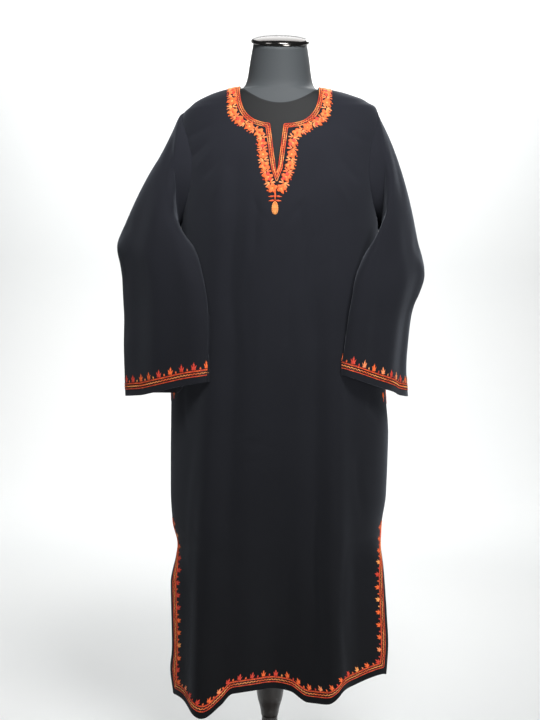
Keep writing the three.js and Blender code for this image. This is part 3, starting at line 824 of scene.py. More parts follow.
def turned_piece(name, outline, bevel):
    """A closed turned shape from its (radius, height) outline in millimetres, bottom to top."""
    clear_selection()
    radius, height = outline[0]
    bpy.ops.mesh.primitive_circle_add(
        vertices=TURNED_SIDES, radius=radius * MM, fill_type="NGON", location=(0, 0, height * MM)
    )
    piece = bpy.context.object
    piece.name = name
    piece.data.name = name
    bpy.ops.object.mode_set(mode="EDIT")
    bpy.ops.mesh.select_all(action="SELECT")
    for wide, high in outline[1:]:
        move = {"value": (0, 0, (high - height) * MM)}
        bpy.ops.mesh.extrude_region_move(TRANSFORM_OT_translate=move)
        size = wide / radius
        bpy.ops.transform.resize(value=(size, size, 1), center_override=(0, 0, high * MM))
        radius, height = wide, high
    bpy.ops.mesh.select_all(action="DESELECT")
    bpy.ops.mesh.select_non_manifold()
    if any(v.select for v in piece.data.vertices):
        bpy.ops.mesh.edge_face_add()
    bpy.ops.mesh.select_all(action="SELECT")
    bpy.ops.mesh.normals_make_consistent(inside=False)
    bpy.ops.object.mode_set(mode="OBJECT")
    pick(piece)
    bpy.ops.object.transform_apply(location=True, rotation=True, scale=True)
    if bevel:
        edge = piece.modifiers.new("edge", "BEVEL")
        edge.width = bevel * MM
        edge.segments = 3
        edge.limit_method = "ANGLE"
        edge.angle_limit = math.radians(30)
        bpy.ops.object.modifier_apply(modifier=edge.name)
    smooth_shading(piece, 35)
    return piece


def rounded(heights_and_radii, steps):
    """More points along an outline, on smooth curves through its given ones."""
    places = np.arange(len(heights_and_radii))
    radii, heights = zip(*heights_and_radii)
    fine = np.linspace(0, places[-1], steps * places[-1] + 1)
    return list(zip(smooth_curve(places, radii)(fine), smooth_curve(places, heights)(fine)))


FOOT = [(38, 28.6), (38, 34)]
VASE = [(34, 40), (22, 56), (18, 75), (20, 95), (24, 101), (26, 108), (24, 115), (19, 120)]
VASE += [(16, 128), (15.8, 140), (17, 143), (20, 160), (25, 178), (28, 198), (29, 215), (27, 240)]
VASE += [(22, 262), (18, 275), (21, 281), (22, 287), (18, 293), (16, 300)]
POLE = [(16, 660), (30, 668), (30, 689.7)]
BASE = [(186, 0), (190, 4), (190, 14), (182, 22), (60, 28)]

post = turned_piece("post", FOOT + rounded(VASE, 4) + POLE, 0)
base = turned_piece("base", BASE, 1.2)
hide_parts("stand_post")
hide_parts("stand_base")

CAP_RADIUS = 57.5
CAP_RIM = 4
DOME_RISE = 13
CAP_GAP = 0.3
DOME = [
    (CAP_RADIUS * math.cos(math.radians(a)), CAP_RIM + DOME_RISE * math.sin(math.radians(a)))
    for a in range(6, 90, 6)
]
CAP_OUTLINE = [(56, 0), (CAP_RADIUS, 1.5), (CAP_RADIUS, CAP_RIM)] + DOME
cap = turned_piece("cap", CAP_OUTLINE, 0)
cap_back = RIM_BACK - CAP_GAP * math.sin(NECK_TILT)
cap_height = RIM_HEIGHT + CAP_GAP * math.cos(NECK_TILT)
cap.location = (0, cap_back * MM, cap_height * MM)
cap.rotation_euler.x = NECK_TILT
pick(cap)
bpy.ops.object.transform_apply(location=True, rotation=True, scale=True)
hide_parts("neck_cap")
print("post, base and cap faces:", [len(p.data.polygons) for p in (post, base, cap)])

# %% [markdown]
# ## Thread
#
# The embroidery is all one thing, a stitch: a short round length of silky thread that goes down
# into the cloth at both ends. Rows of stitches make the lines, a zigzag of them makes the ribbon
# between two lines, and fans of them make leaves, buds and petals. A painted band would look flat
# close up. So one stitch is shaped once, as a plump spindle of 36 faces, and is laid again and
# again between two points that are first dropped onto the cloth. The thread is space dyed from
# dark red to gold, so every stitch carries its own colour.

# %% One stitch, and a way to lay many
MAROON = (0.075, 0.008, 0.010)
DARK_RED = (0.42, 0.032, 0.020)
ROSE = (0.66, 0.055, 0.028)
ORANGE = (0.93, 0.155, 0.032)
BRIGHT = (0.96, 0.225, 0.050)
PEACH = (0.96, 0.30, 0.115)
GOLD = (0.98, 0.39, 0.11)
STITCH_SIDES = 6
STITCH_RINGS = [(0.16, 0.74), (0.5, 1.0), (0.84, 0.74)]
SUNK = 0.12


def stitch_shape():
    """A stitch of length, width and height 1, as points and triangles."""
    points = [(0.0, 0.0, 0.0)]
    for along, wide in STITCH_RINGS:
        for k in range(STITCH_SIDES):
            turn = 2 * math.pi * k / STITCH_SIDES
            points.append((along, 0.5 * wide * math.cos(turn), 0.5 * wide * math.sin(turn)))
    points.append((1.0, 0.0, 0.0))
    end = len(points) - 1
    faces = []
    for k in range(STITCH_SIDES):
        j = (k + 1) % STITCH_SIDES
        faces.append((0, 1 + j, 1 + k))
        for ring in range(len(STITCH_RINGS) - 1):
            low = 1 + ring * STITCH_SIDES
            high = low + STITCH_SIDES
            faces += [(low + k, low + j, high + j), (low + k, high + j, high + k)]
        low = 1 + (len(STITCH_RINGS) - 1) * STITCH_SIDES
        faces.append((low + k, low + j, end))
    return np.array(points), np.array(faces)


STITCH_POINTS, STITCH_FACES = stitch_shape()


class Needle:
    """Lays stitches on one cloth surface and turns them into a piece."""

    def __init__(self, tree, seed):
        self.tree = tree
        self.chance = random.Random(seed)
        self.stitches = []

    def on_cloth(self, point):
        """The nearest place on the cloth and the way out of it."""
        place, out, _, _ = self.tree.find_nearest(Vector(point))
        return np.array(place), np.array(out)

    def stitch(self, start, end, width, shade, height=None):
        """One stitch from start to end. A shade is one colour, or two for its two ends."""
        a, out_a = self.on_cloth(start)
        b, out_b = self.on_cloth(end)
        shades = shade if isinstance(shade[0], tuple) else (shade, shade)
        glow = self.chance.uniform(0.86, 1.12)
        first, second = (tuple(c * glow for c in s) for s in shades)
        self.stitches.append((a, b, unit(out_a + out_b), width, height or width * 0.8, first, second))

    def row(self, points, length, width, shade_at, height=None, overlap=0.12):
        """A line of stitches along a path. shade_at gives a shade for millimetres along."""
        path = np.asarray(points, float)
        run = run_along(path)
        count = max(int(round(run[-1] / length)), 1)
        marks = np.linspace(0, run[-1], count + 1)
        at = points_at(path, run, marks)
        for i in range(count):
            step = at[i + 1] - at[i]
            start, end = at[i] - step * overlap, at[i + 1] + step * overlap
            self.stitch(start, end, width, shade_at(marks[i]), height)

    def piece(self, name):
        """All the stitches as one mesh, with the colour of each point's thread."""
        a, b, out, width, height, first, second = (np.array(x) for x in zip(*self.stitches))
        along = b - a
        side = unit(np.cross(out, unit(along)))
        out = unit(np.cross(along, side))
        u, v, w = STITCH_POINTS.T
        points = a[:, None] + along[:, None] * u[:, None]
        points = points + side[:, None] * (width[:, None] * v)[..., None]
        points = points + out[:, None] * (height[:, None] * (w + 0.5 - SUNK))[..., None]
        offsets = np.arange(len(a))[:, None, None] * len(STITCH_POINTS)
        faces = (STITCH_FACES[None] + offsets).reshape(-1, 3)
        piece = new_mesh(name, points.reshape(-1, 3), faces.tolist())
        colour = first[:, None] * (1 - u[:, None]) + second[:, None] * u[:, None]
        alpha = np.ones(colour.shape[:2] + (1,))
        dye = piece.data.color_attributes.new("thread", "FLOAT_COLOR", "POINT")
        dye.data.foreach_set("color", np.concatenate([colour, alpha], -1).ravel())
        piece.data.shade_smooth()
        print(name, "has", len(a), "stitches,", len(faces), "faces")
        return piece


def dyed(*stops, period=38.0, shift=0.0):
    """A space-dyed thread: its shade wanders between the stops along its length."""

    def shade_at(distance):
        wander = 0.5 + 0.5 * math.sin(2 * math.pi * (distance + shift) / period)
        wander = wander * (len(stops) - 1)
        i = min(int(wander), len(stops) - 2)
        t = wander - i
        return tuple(p * (1 - t) + q * t for p, q in zip(stops[i], stops[i + 1]))

    return shade_at


print("a stitch has", len(STITCH_FACES), "faces")

# %% [markdown]
# ## Motifs
#
# The leaves, buds and flowers are the old ones of this work: a leaf of three lobes that stands on
# the border, a small bud between two leaves, and a round flower with spiky sprigs beside it. A
# motif is only a list of strokes on a small flat sheet of its own, so that one drawing serves
# everywhere. The needle lays it on the cloth along the border's direction.

# %% Motifs drawn as strokes: from (across, away) to (across, away), width, part of the motif


def fan(base, direction, length, spread, count, width, part=0, fall=0.28, start=0.0):
    """Strokes that open from a base like the threads of a petal, shorter towards its sides."""
    strokes = []
    for k in range(count):
        out = 2 * k / (count - 1) - 1 if count > 1 else 0
        turn = math.radians(direction + out * spread)
        reach = length * (1 - fall * out * out)
        across, away = math.sin(turn), math.cos(turn)
        foot = (base[0] + across * start, base[1] + away * start)
        tip = (base[0] + across * reach, base[1] + away * reach)
        strokes.append((foot, tip, width, part))
    return strokes


def petals(count, length, turn, width=2.3):
    """A round flower: satin petals about a small knot."""
    strokes = []
    for k in range(count):
        strokes += fan((0, 0), turn + 360 * k / count, length, 24, 5, width, k % 2, 0.24, 1.4)
    for k in range(5):
        strokes += fan((0, 0), turn + 20 + 72 * k, 2.6, 0, 1, 1.8, 2)
    return strokes


LEAF = fan((0, 0.6), 0, 15.5, 6, 3, 2.0, fall=0.2)
LEAF += fan((0.4, 1.0), 28, 10.6, 6, 3, 1.8) + fan((-0.4, 1.0), -28, 10.6, 6, 3, 1.8)
LEAF += fan((0.6, 0.8), 56, 6.2, 8, 2, 1.6) + fan((-0.6, 0.8), -56, 6.2, 8, 2, 1.6)
BUD = fan((0, 0), 0, 5.4, 16, 3, 1.7)
SPRIG = fan((0, 0), -46, 12.0, 4, 2, 1.7, 1) + fan((0, 0), -16, 17.0, 3, 2, 1.7, 1)
SPRIG += fan((0, 0), 18, 16.5, 3, 2, 1.7, 1) + fan((0, 0), 48, 12.0, 4, 2, 1.7, 1)
TUFT = fan((0, 0), -24, 14.5, 5, 2, 1.8, 1) + fan((0, 0), 24, 14.5, 5, 2, 1.8, 1)
SPIKES = fan((0, 0), -16, 16.5, 3, 2, 1.7, 1, start=9)
SPIKES += fan((0, 0), 24, 16.0, 3, 2, 1.7, 0, start=9)
print("strokes in a leaf, a bud and a sprig:", len(LEAF), len(BUD), len(SPRIG))


# %% Lay borders and motifs along a line
def kept_lines(line):
    """Keeps each distance's line once it is worked out, because many motifs ask for the same."""
    return functools.lru_cache(maxsize=None)(line)


def at_place(path, place):
    """The point at a fractional index of a path."""
    return points_at(path, np.arange(len(path)), place)


def places_along(path, spacing, margin=0.0, shift=0.0):
    """Fractional indexes along a path, about evenly spaced in millimetres."""
    run = run_along(path)
    room = run[-1] - 2 * margin
    count = max(int(round(room / spacing)), 1)
    wanted = margin + (np.arange(count + 1) + shift) * room / count
    return np.interp(wanted[wanted <= run[-1]], run, np.arange(len(path)))


def lay_motif(needle, line, d, place, strokes, shades, turn=0.0, size=1.0):
    """One motif on the cloth. line(d) is the border's line at a distance d from the edge."""
    here = at_place(line(d), place)
    away = unit(at_place(line(d + 5), place) - here)
    foot, out = needle.on_cloth(here)
    across = unit(np.cross(away, out))
    away = unit(np.cross(out, across))
    c, s = math.cos(math.radians(turn)) * size, math.sin(math.radians(turn)) * size
    for start, tip, width, part in strokes:
        ends = [foot + across * (c * a + s * b) + away * (c * b - s * a) for a, b in (start, tip)]
        needle.stitch(ends[0], ends[1], width, shades[part], width * 0.62)


def zigzag(needle, line, low, high, pitch, width, shade_at):
    """A zigzag of stitches between the lines at two distances from the edge."""
    marks = places_along(line((low + high) / 2), pitch / 2)
    for i in range(len(marks) - 1):
        first, second = (low, high) if i % 2 else (high, low)
        start = at_place(line(first), marks[i])
        end = at_place(line(second), marks[i + 1])
        needle.stitch(start, end, width, shade_at(i * pitch / 2), width * 0.95)


# Rows of the border, as distance from the edge, stitch length, width, height and thread.
BORDER_ROWS = [
    (13.6, 3.8, 1.9, 1.3, (ROSE, ORANGE, ROSE)),
    (15.4, 5.0, 1.8, 0.7, (MAROON, MAROON)),
    (18.5, 5.0, 3.8, 0.6, (MAROON, MAROON)),
    (21.5, 5.0, 1.8, 0.7, (MAROON, MAROON)),
    (23.5, 3.8, 2.1, 1.4, (ORANGE, ROSE, ORANGE)),
    (25.2, 4.2, 0.9, 0.9, (DARK_RED, ROSE)),
]
LEAF_SPACING = 25.0
LEAF_LINE = 26.0
HEM_LEAF_SIZE = 0.84
LEAF_SHADES = [ORANGE, ROSE, PEACH, ORANGE, GOLD, ROSE, ORANGE, ROSE]


def lay_border(needle, line, leaf_margin=10.0, leaf_size=HEM_LEAF_SIZE):
    """The border of cuffs, slits and hem: lines, a zigzag ribbon, and leaves with buds."""
    for k, (d, length, width, height, stops) in enumerate(BORDER_ROWS):
        needle.row(line(d), length, width, dyed(*stops, shift=11.0 * k), height)
    zigzag(needle, line, 17.1, 20.0, 7.0, 1.7, dyed(GOLD, GOLD, ORANGE, period=61.0))
    leaf_line = line(LEAF_LINE)
    for place in places_along(leaf_line, LEAF_SPACING, leaf_margin):
        shade = LEAF_SHADES[needle.chance.randrange(len(LEAF_SHADES))]
        turn = needle.chance.uniform(-7, 7)
        lay_motif(needle, line, 25.6, place, LEAF, [shade], turn, leaf_size)
    for place in places_along(leaf_line, LEAF_SPACING, leaf_margin, 0.5)[:-1]:
        shade = needle.chance.choice(LEAF_SHADES)
        lay_motif(needle, line, 25.8, place, BUD, [shade], needle.chance.uniform(-10, 10))


print(len(BORDER_ROWS), "rows of stitches and a zigzag make the border")

# %% [markdown]
# ## Borders of the hem, the slits and the cuffs
#
# The border keeps the same distance from the edge all the way, down one slit, along the hem and up
# the other slit. Stepping sideways from the edge would bunch the stitches at the corners. So each
# row is laid out on the panel itself: along the slit at its distance from the slit's edge, and
# along the hem at its distance from the hem, meeting in a mitre.

# %% Work the hem and slits, front and back
BORDER_TOP = 548
SLIT_MARGIN = 2.0
SLIT_POINTS = 90
HEM_POINTS = 150


def slit_line(z, middle, sign, reach, slit, lift, d):
    """Points on a panel at a distance from its slit's edge."""
    edge = np.pi / 2 - np.arcsin(slit(z) / reach(z))
    steps = np.linspace(0, 0.5, 60)
    angle = middle + sign * (edge[:, None] - steps[None, :])
    height = lifted(np.broadcast_to(z[:, None], angle.shape), angle, lift)
    run = lengths_along(cloth_point(height, angle, OUTSIDE), 1) / MM
    turn = np.array([np.interp(d, run[i], steps) for i in range(len(z))])
    angle = middle + sign * (edge - turn)
    return cloth_point(lifted(z, angle, lift), angle, OUTSIDE), angle


def panel_border(middle, reach, slits, lift):
    """The border's line on a panel: down one slit, along the hem, up the other."""

    def line(d):
        z = np.linspace(BORDER_TOP, HEM + d, SLIT_POINTS)
        down, first = slit_line(z, middle, -1, reach, slits[0], lift, d - SLIT_MARGIN)
        up, second = slit_line(z, middle, 1, reach, slits[1], lift, d - SLIT_MARGIN)
        angle = np.linspace(first[-1], second[-1], HEM_POINTS + 2)[1:-1]
        hem = cloth_point(lifted(np.full_like(angle, HEM + d), angle, lift), angle, OUTSIDE)
        return np.concatenate([down, hem, up[::-1]])

    return kept_lines(line)


front_needle = Needle(front_tree, 11)
front_line = panel_border(0, FRONT, FRONT_SLITS, FRONT_HEM_LIFT)
lay_border(front_needle, front_line)
back_needle = Needle(back_tree, 12)
back_line = panel_border(math.pi, BACK, BACK_SLITS, BACK_HEM_LIFT)
lay_border(back_needle, back_line)
print("stitches on the hems:", len(front_needle.stitches), len(back_needle.stitches))

# %% Work the cuffs


def cuff_border(grid):
    """The border's line on a sleeve: a closed loop at a distance from the cuff."""
    rows = grid[::-1]
    run = lengths_along(rows, 0) / MM

    def line(d):
        loop = np.array([
            [np.interp(d, run[:, c], rows[:, c, k]) for k in range(3)] for c in range(rows.shape[1])
        ])
        return np.concatenate([loop, loop[:1]])

    return kept_lines(line)


left_needle = Needle(left_tree, 13)
lay_border(left_needle, cuff_border(left_grid), 4.0, 1.0)
right_needle = Needle(right_tree, 14)
lay_border(right_needle, cuff_border(right_grid), 4.0, 1.0)
print("stitches on the cuffs:", len(left_needle.stitches), len(right_needle.stitches))

# %% [markdown]
# ## Pocket mouths
#
# The small needlework below each cuff is read as the lower end of a pocket mouth in the side seam,
# edged like the rest. The sleeves hide most of it. Only the edging is worked here, round an almond
# shape that straddles the seam, half on the front and half on the back; no slot is cut.

# %% Work the pocket mouths
POCKET_LOW, POCKET_HIGH = 786, 930
POCKET_HALF = 15.0
POCKET_FOOT = 806.0


def pocket_border(side, sign, reach):
    """Half of a pocket mouth's outline: from its lower end to its upper end."""
    middle = (POCKET_LOW + POCKET_HIGH) / 2
    half_height = (POCKET_HIGH - POCKET_LOW) / 2

    def line(d):
        turn = np.linspace(-np.pi / 2, np.pi / 2, 60)
        z = middle + (half_height + d) * np.sin(turn)
        out = (POCKET_HALF + d) * np.cos(turn) ** 1.3 + 0.4
        return cloth_point(z, side * (np.pi / 2 + sign * out / reach(z)), OUTSIDE)

    return kept_lines(line)


def lay_pocket(needle, line):
    """A pocket's narrow border with buds along it."""
    needle.row(line(0.0), 3.2, 1.4, dyed(ROSE, ORANGE))
    needle.row(line(1.9), 3.2, 1.8, dyed(MAROON, DARK_RED))
    zigzag(needle, line, 2.8, 5.0, 3.6, 1.1, dyed(GOLD, ORANGE))
    needle.row(line(6.4), 3.2, 1.6, dyed(ORANGE, DARK_RED, ROSE))
    for place in places_along(line(7.4), 17.0, 14.0):
        lay_motif(needle, line, 7.2, place, BUD, [needle.chance.choice(LEAF_SHADES)])


def pocket_foot(side):
    """A short level line in front of the pocket's lower end, with d measured downwards."""

    def line(d):
        angle = side * np.linspace(1.16, 1.40, 9)
        return cloth_point(np.full(9, POCKET_FOOT - d), angle, OUTSIDE)

    return kept_lines(line)


for side in (-1, 1):
    lay_motif(front_needle, pocket_foot(side), 0.0, 4, LEAF, [ORANGE])
    lay_motif(front_needle, pocket_foot(side), 14.0, 4, BUD, [ROSE])
    lay_pocket(front_needle, pocket_border(side, -1, FRONT))
    lay_pocket(back_needle, pocket_border(side, 1, BACK))
print("stitches with the pockets:", len(front_needle.stitches), len(back_needle.stitches))

# %% [markdown]
# ## The neckline
#
# The richest work is round the neck. A ribbon of lines with a zigzag follows the edge and meets
# below the slit. Outside it runs a garland of flowers with stems and spiky leaves, one branch down
# each side. Both end in two crossbars and a single long bud. The branches are laid on smooth
# curves, and each flower gets a small turn and size of its own, as handwork does.

# %% Lines round the neck
NECK_POINTS = 110
SHOULDER_LEVELS = np.linspace(1345, TOP, 300)
SLIT_BEND = 1232


def ridge_level(x):
    """The height of the shoulder's ridge at a distance across, where front meets back."""
    left = np.interp(np.abs(x), LEFT(SHOULDER_LEVELS)[::-1], SHOULDER_LEVELS[::-1])
    right = np.interp(np.abs(x), RIGHT(SHOULDER_LEVELS)[::-1], SHOULDER_LEVELS[::-1])
    return np.where(np.asarray(x) < 0, left, right)


def on_trunk(x, z, is_back=False):
    """Points of the cloth that lie at (across, height) seen from the front or the back."""
    x, z = np.asarray(x, float), np.asarray(z, float)
    z = np.minimum(z, ridge_level(x) - 0.02)
    half = np.where(x < 0, LEFT(z), RIGHT(z))
    angle = np.arcsin(np.clip(x / half, -0.9999, 0.9999))
    return cloth_point(z, np.pi - angle if is_back else angle, OUTSIDE)


def neck_branch(side):
    """One half of the front neckline's line, from the shoulder's ridge to below the slit."""

    def line(d):
        x, z = neck_curve(NECK_HALF + d, NECK_DEPTH + d, np.linspace(0, np.pi / 2, 160))
        corner = (-SLIT_LEFT if side < 0 else SLIT_RIGHT) + d
        bend = (5.0 if side < 0 else -1.2) + d
        climb = ridge_level(NECK_HALF + d) - np.linspace(0, 1, 40)[:-1] ** 2 * 8
        is_below = (x > corner) & (z < climb[-1])
        z = np.concatenate([climb, z[is_below]])
        x = np.concatenate([np.full(len(climb), NECK_HALF + d), x[is_below]])
        bottom = NECK_TOP - NECK_DEPTH - d
        tip = SLIT_TIP[1] - 2.35 * d
        straight = np.linspace(bottom, SLIT_BEND, 50)
        slit_z = np.concatenate([straight, np.linspace(SLIT_BEND, tip, 20)[1:]])
        tip_x = SLIT_TIP[0] * side + 0.6
        slit_x = np.interp(slit_z, [tip, SLIT_BEND, bottom], [tip_x, bend, corner])
        points = on_trunk(side * np.concatenate([x, slit_x]), np.concatenate([z, slit_z]))
        return resampled(points, NECK_POINTS)

    return kept_lines(line)


@kept_lines
def neck_behind(d):
    """The back neckline's line, from the left shoulder's ridge to the right one."""
    x, z = neck_curve(NECK_HALF + d, BACK_NECK_DEPTH + d, np.linspace(np.pi, 0, 240))
    return resampled(on_trunk(x, z, True), NECK_POINTS)


NECK_ROWS = [
    (0.9, 2.8, 1.7, 1.4, (ROSE, ORANGE, GOLD)),
    (2.4, 3.6, 1.6, 0.7, (MAROON, DARK_RED)),
    (4.3, 3.6, 2.4, 0.6, (MAROON, MAROON)),
    (6.2, 3.6, 1.6, 0.7, (MAROON, DARK_RED)),
    (7.8, 2.8, 1.8, 1.4, (ORANGE, ROSE, GOLD)),
]


def lay_neck_ribbon(needle, line):
    """The ribbon of lines that edges the neck."""
    for k, (d, length, width, height, stops) in enumerate(NECK_ROWS):
        needle.row(line(d), length, width, dyed(*stops, period=44.0, shift=9.0 * k), height)
    zigzag(needle, line, 3.0, 5.7, 5.4, 1.4, dyed(GOLD, ORANGE, period=53.0))


branches = [neck_branch(-1), neck_branch(1)]
neck_needle = Needle(front_tree, 21)
for branch in branches:
    lay_neck_ribbon(neck_needle, branch)
nape_needle = Needle(back_tree, 22)
lay_neck_ribbon(nape_needle, neck_behind)
print("stitches in the ribbon:", len(neck_needle.stitches) + len(nape_needle.stitches))

# %% Garland of flowers
GARLAND = [
    # across, height of the flowers' line on one side
    (91, 1398), (90, 1350), (82, 1332), (64, 1319), (47.5, 1308), (30.5, 1294), (27.5, 1262),
    (23.5, 1236), (15.5, 1209), (6, 1187),
]
GARLAND_SHIFT = 2.5
FLOWER_SPACING = 23.0


def garland_line(side):
    """The flowers' line on one side of the front; d moves it away from the neck's edge."""
    places = np.arange(len(GARLAND))
    xs, zs = zip(*GARLAND)
    fine = np.linspace(0, places[-1], 300)
    x, z = smooth_curve(places, xs)(fine), smooth_curve(places, zs)(fine)
    step = np.stack([np.gradient(x), np.gradient(z)], -1)
    out = unit(np.stack([-step[:, 1], step[:, 0]], -1))
    out[:, 0] = np.abs(out[:, 0])
    out[:, 1] = -np.abs(out[:, 1])
    shift = GARLAND_SHIFT * (1 - ramp_up(z, 1290, 1330))

    def line(d):
        points = on_trunk(side * (x + out[:, 0] * d) - shift, z + out[:, 1] * d)
        return resampled(points, NECK_POINTS)

    return kept_lines(line)


def nape_line(d):
    """The flowers' line behind the neck."""
    return neck_behind(16.0 + d)


def lay_garland(needle, line, spacing, margin):
    """Flowers along a line with a winding stem, sprigs outside and tufts inside."""
    marks = places_along(line(0), spacing, margin)
    wave = np.linspace(0, NECK_POINTS - 1, 160)
    near, far = line(-5.0), line(5.0)
    sway = [0.5 + 0.5 * math.sin(k * 0.42) for k in range(len(wave))]
    stem = [at_place(near, p) * (1 - s) + at_place(far, p) * s for p, s in zip(wave, sway)]
    needle.row(stem, 3.0, 1.7, dyed(GOLD, ORANGE, period=29.0))
    for k, place in enumerate(marks):
        shades = [(ORANGE, ORANGE, GOLD), (BRIGHT, ORANGE, ROSE), (ORANGE, ROSE, PEACH)][k % 3]
        size = needle.chance.uniform(0.94, 1.08)
        turn = needle.chance.uniform(0, 60)
        offset = needle.chance.uniform(-0.8, 0.8)
        lay_motif(needle, line, offset, place, SPIKES, shades, turn - 30)
        lay_motif(needle, line, offset, place, petals(5, 10.4, turn, 2.5), shades, 0, size)
    for k, place in enumerate((marks[1:] + marks[:-1]) / 2):
        shades = [ORANGE, (GOLD, PEACH) if k % 2 else (PEACH, ORANGE)]
        turn = needle.chance.uniform(-22, 22)
        lay_motif(needle, line, 0.0, place, SPRIG, shades, turn)
        lay_motif(needle, line, -0.6, place, TUFT, shades, 180 + turn / 2)


for side in (-1, 1):
    lay_garland(neck_needle, garland_line(side), FLOWER_SPACING, 7.0)
lay_garland(nape_needle, nape_line, 21.0, 10.5)
print("stitches with the garland:", len(neck_needle.stitches) + len(nape_needle.stitches))

# %% Crossbars and the long bud below the slit
FINIAL_X = -5.5
FINIAL_TOP = 1186


@kept_lines
def finial_line(d):
    """A short upright line below the slit, with d measured downwards."""
    x = np.linspace(FINIAL_X - 8, FINIAL_X + 8, 9)
    return on_trunk(x, np.full(9, FINIAL_TOP - d))


CROSSBAR = fan((0.8, 0), 84, 12.5, 6, 3, 2.4) + fan((-0.8, 0), -84, 12.5, 6, 3, 2.4)
LONG_BUD = []
for a in (-4.4, -3.3, -2.2, -1.1, 0.0, 1.1, 2.2, 3.3, 4.4):
    rise = 11.5 * math.sqrt(1 - (a / 5.6) ** 2)
    LONG_BUD.append(((a * 0.85, 12.2 - rise), (a, 14.0), 2.0, 0))
    LONG_BUD.append(((a, 10.5), (a * 0.7, 12.2 + rise), 2.0, 0))
OUTLINE = [
    (5.6 * math.sin(t) * (1.0 - 0.15 * math.cos(t)), 12.2 - 12.0 * math.cos(t))
    for t in np.linspace(0, 2 * math.pi, 19)
]
LONG_BUD += [(OUTLINE[i], OUTLINE[i + 1], 2.0, 1) for i in range(18)]

for k, drop in enumerate((7.5, 15.5)):
    lay_motif(neck_needle, finial_line, drop, 4, CROSSBAR, [(ROSE, ORANGE)], 0, 1 - 0.08 * k)
lay_motif(neck_needle, finial_line, -6.0, 4, fan((0, 0), 0, 26, 2.5, 3, 2.0), [ORANGE])
lay_motif(neck_needle, finial_line, 17.5, 4, LONG_BUD, [(ORANGE, GOLD), GOLD])

needles = {
    "front_border": front_needle,
    "back_border": back_needle,
    "left_cuff_border": left_needle,
    "right_cuff_border": right_needle,
    "neck_embroidery": neck_needle,
    "nape_embroidery": nape_needle,
}
pieces = {name: needle.piece(name) for name, needle in needles.items()}

# %% [markdown]
# ## Finishes
#
# The cloth is fine black wool: dull, with a plain weave and a faint nap that catches the light at
# grazing angles. The weave and the nap are wanted at two scales, so they are one node group with
# named inputs. The weave reads the cut's own flat map, so that it follows each piece as it was cut.


# %% Node groups for weave and for fine unevenness
def new_group(name, inputs, outputs):
    """An empty shader node group with named number inputs."""
    group = bpy.data.node_groups.new(name, "ShaderNodeTree")
    for label, value in inputs.items():
        socket = group.interface.new_socket(label, in_out="INPUT", socket_type="NodeSocketFloat")
        socket.default_value = value
    group.interface.new_socket("Vector", in_out="INPUT", socket_type="NodeSocketVector")
    for label in outputs:
        group.interface.new_socket(label, in_out="OUTPUT", socket_type="NodeSocketFloat")
    return group, group.nodes.new("NodeGroupInput"), group.nodes.new("NodeGroupOutput")


def math_node(tree, operation, a, b):
    """A Math node fed by sockets or numbers; its result socket."""
    node = tree.nodes.new("ShaderNodeMath")
    node.operation = operation
    for socket, value in zip(node.inputs, (a, b)):
        if isinstance(value, (int, float)):
            socket.default_value = value
        else:
            tree.links.new(value, socket)
    return node.outputs[0]


def noise(tree, vector, scale, detail):
    """A Noise Texture on a vector; its value socket."""
    node = tree.nodes.new("ShaderNodeTexNoise")
    node.inputs["Detail"].default_value = detail
    tree.links.new(vector, node.inputs["Vector"])
    if isinstance(scale, (int, float)):
        node.inputs["Scale"].default_value = scale
    else:
        tree.links.new(scale, node.inputs["Scale"])
    return node.outputs[0]


def weave_group():
    """Warp over weft, with loose fibres: a height and a patchy mask."""
    group, inside, outside = new_group("weave", {"Threads": 1400.0, "Nap": 160.0}, ["Height", "Patch"])
    split = group.nodes.new("ShaderNodeSeparateXYZ")
    group.links.new(inside.outputs["Vector"], split.inputs[0])
    waves = []
    for axis in ("X", "Y"):
        turn = math_node(group, "MULTIPLY", split.outputs[axis], inside.outputs["Threads"])
        waves.append(math_node(group, "SINE", turn, 0))
    crossed = math_node(group, "MULTIPLY", waves[0], waves[1])
    fibres = noise(group, inside.outputs["Vector"], inside.outputs["Nap"], 6)
    height = math_node(group, "ADD", math_node(group, "MULTIPLY", crossed, 0.22), fibres)
    group.links.new(height, outside.inputs["Height"])
    group.links.new(noise(group, inside.outputs["Vector"], 9.0, 4), outside.inputs["Patch"])
    return group


def grain_group():
    """Fine unevenness of a hard surface: a height and a mask."""
    group, inside, outside = new_group("grain", {"Fine": 400.0, "Broad": 14.0}, ["Height", "Mask"])
    vector = inside.outputs["Vector"]
    group.links.new(noise(group, vector, inside.outputs["Fine"], 3), outside.inputs["Height"])
    group.links.new(noise(group, vector, inside.outputs["Broad"], 4), outside.inputs["Mask"])
    return group


WEAVE = weave_group()
GRAIN = grain_group()
print("node groups:", WEAVE.name, GRAIN.name)


# %% Materials
# In metres: the heights between which the wool's colour is painted paler and bluer, a painted light
# from above, the neck seam's height in the middle, and how steeply that seam bows up to both sides.
PALE_FROM, PALE_TO = 0.25, 1.3
NECK_SEAM = 1.362
SEAM_BOW = 6.0


def new_material(name, roughness, metallic=0.0):
    """A material with its Principled shader and its tree."""
    material = bpy.data.materials.new(name)
    material.use_nodes = True
    shader = material.node_tree.nodes["Principled BSDF"]
    shader.inputs["Roughness"].default_value = roughness
    shader.inputs["Metallic"].default_value = metallic
    return material, shader, material.node_tree


def place_group(tree, group, vector, values):
    """A node group in a material, with its vector and its own values."""
    node = tree.nodes.new("ShaderNodeGroup")
    node.node_tree = group
    tree.links.new(vector, node.inputs["Vector"])
    for label, value in values.items():
        node.inputs[label].default_value = value
    return node


def coordinates(tree, kind):
    """Object or UV coordinates."""
    return tree.nodes.new("ShaderNodeTexCoord").outputs[kind]


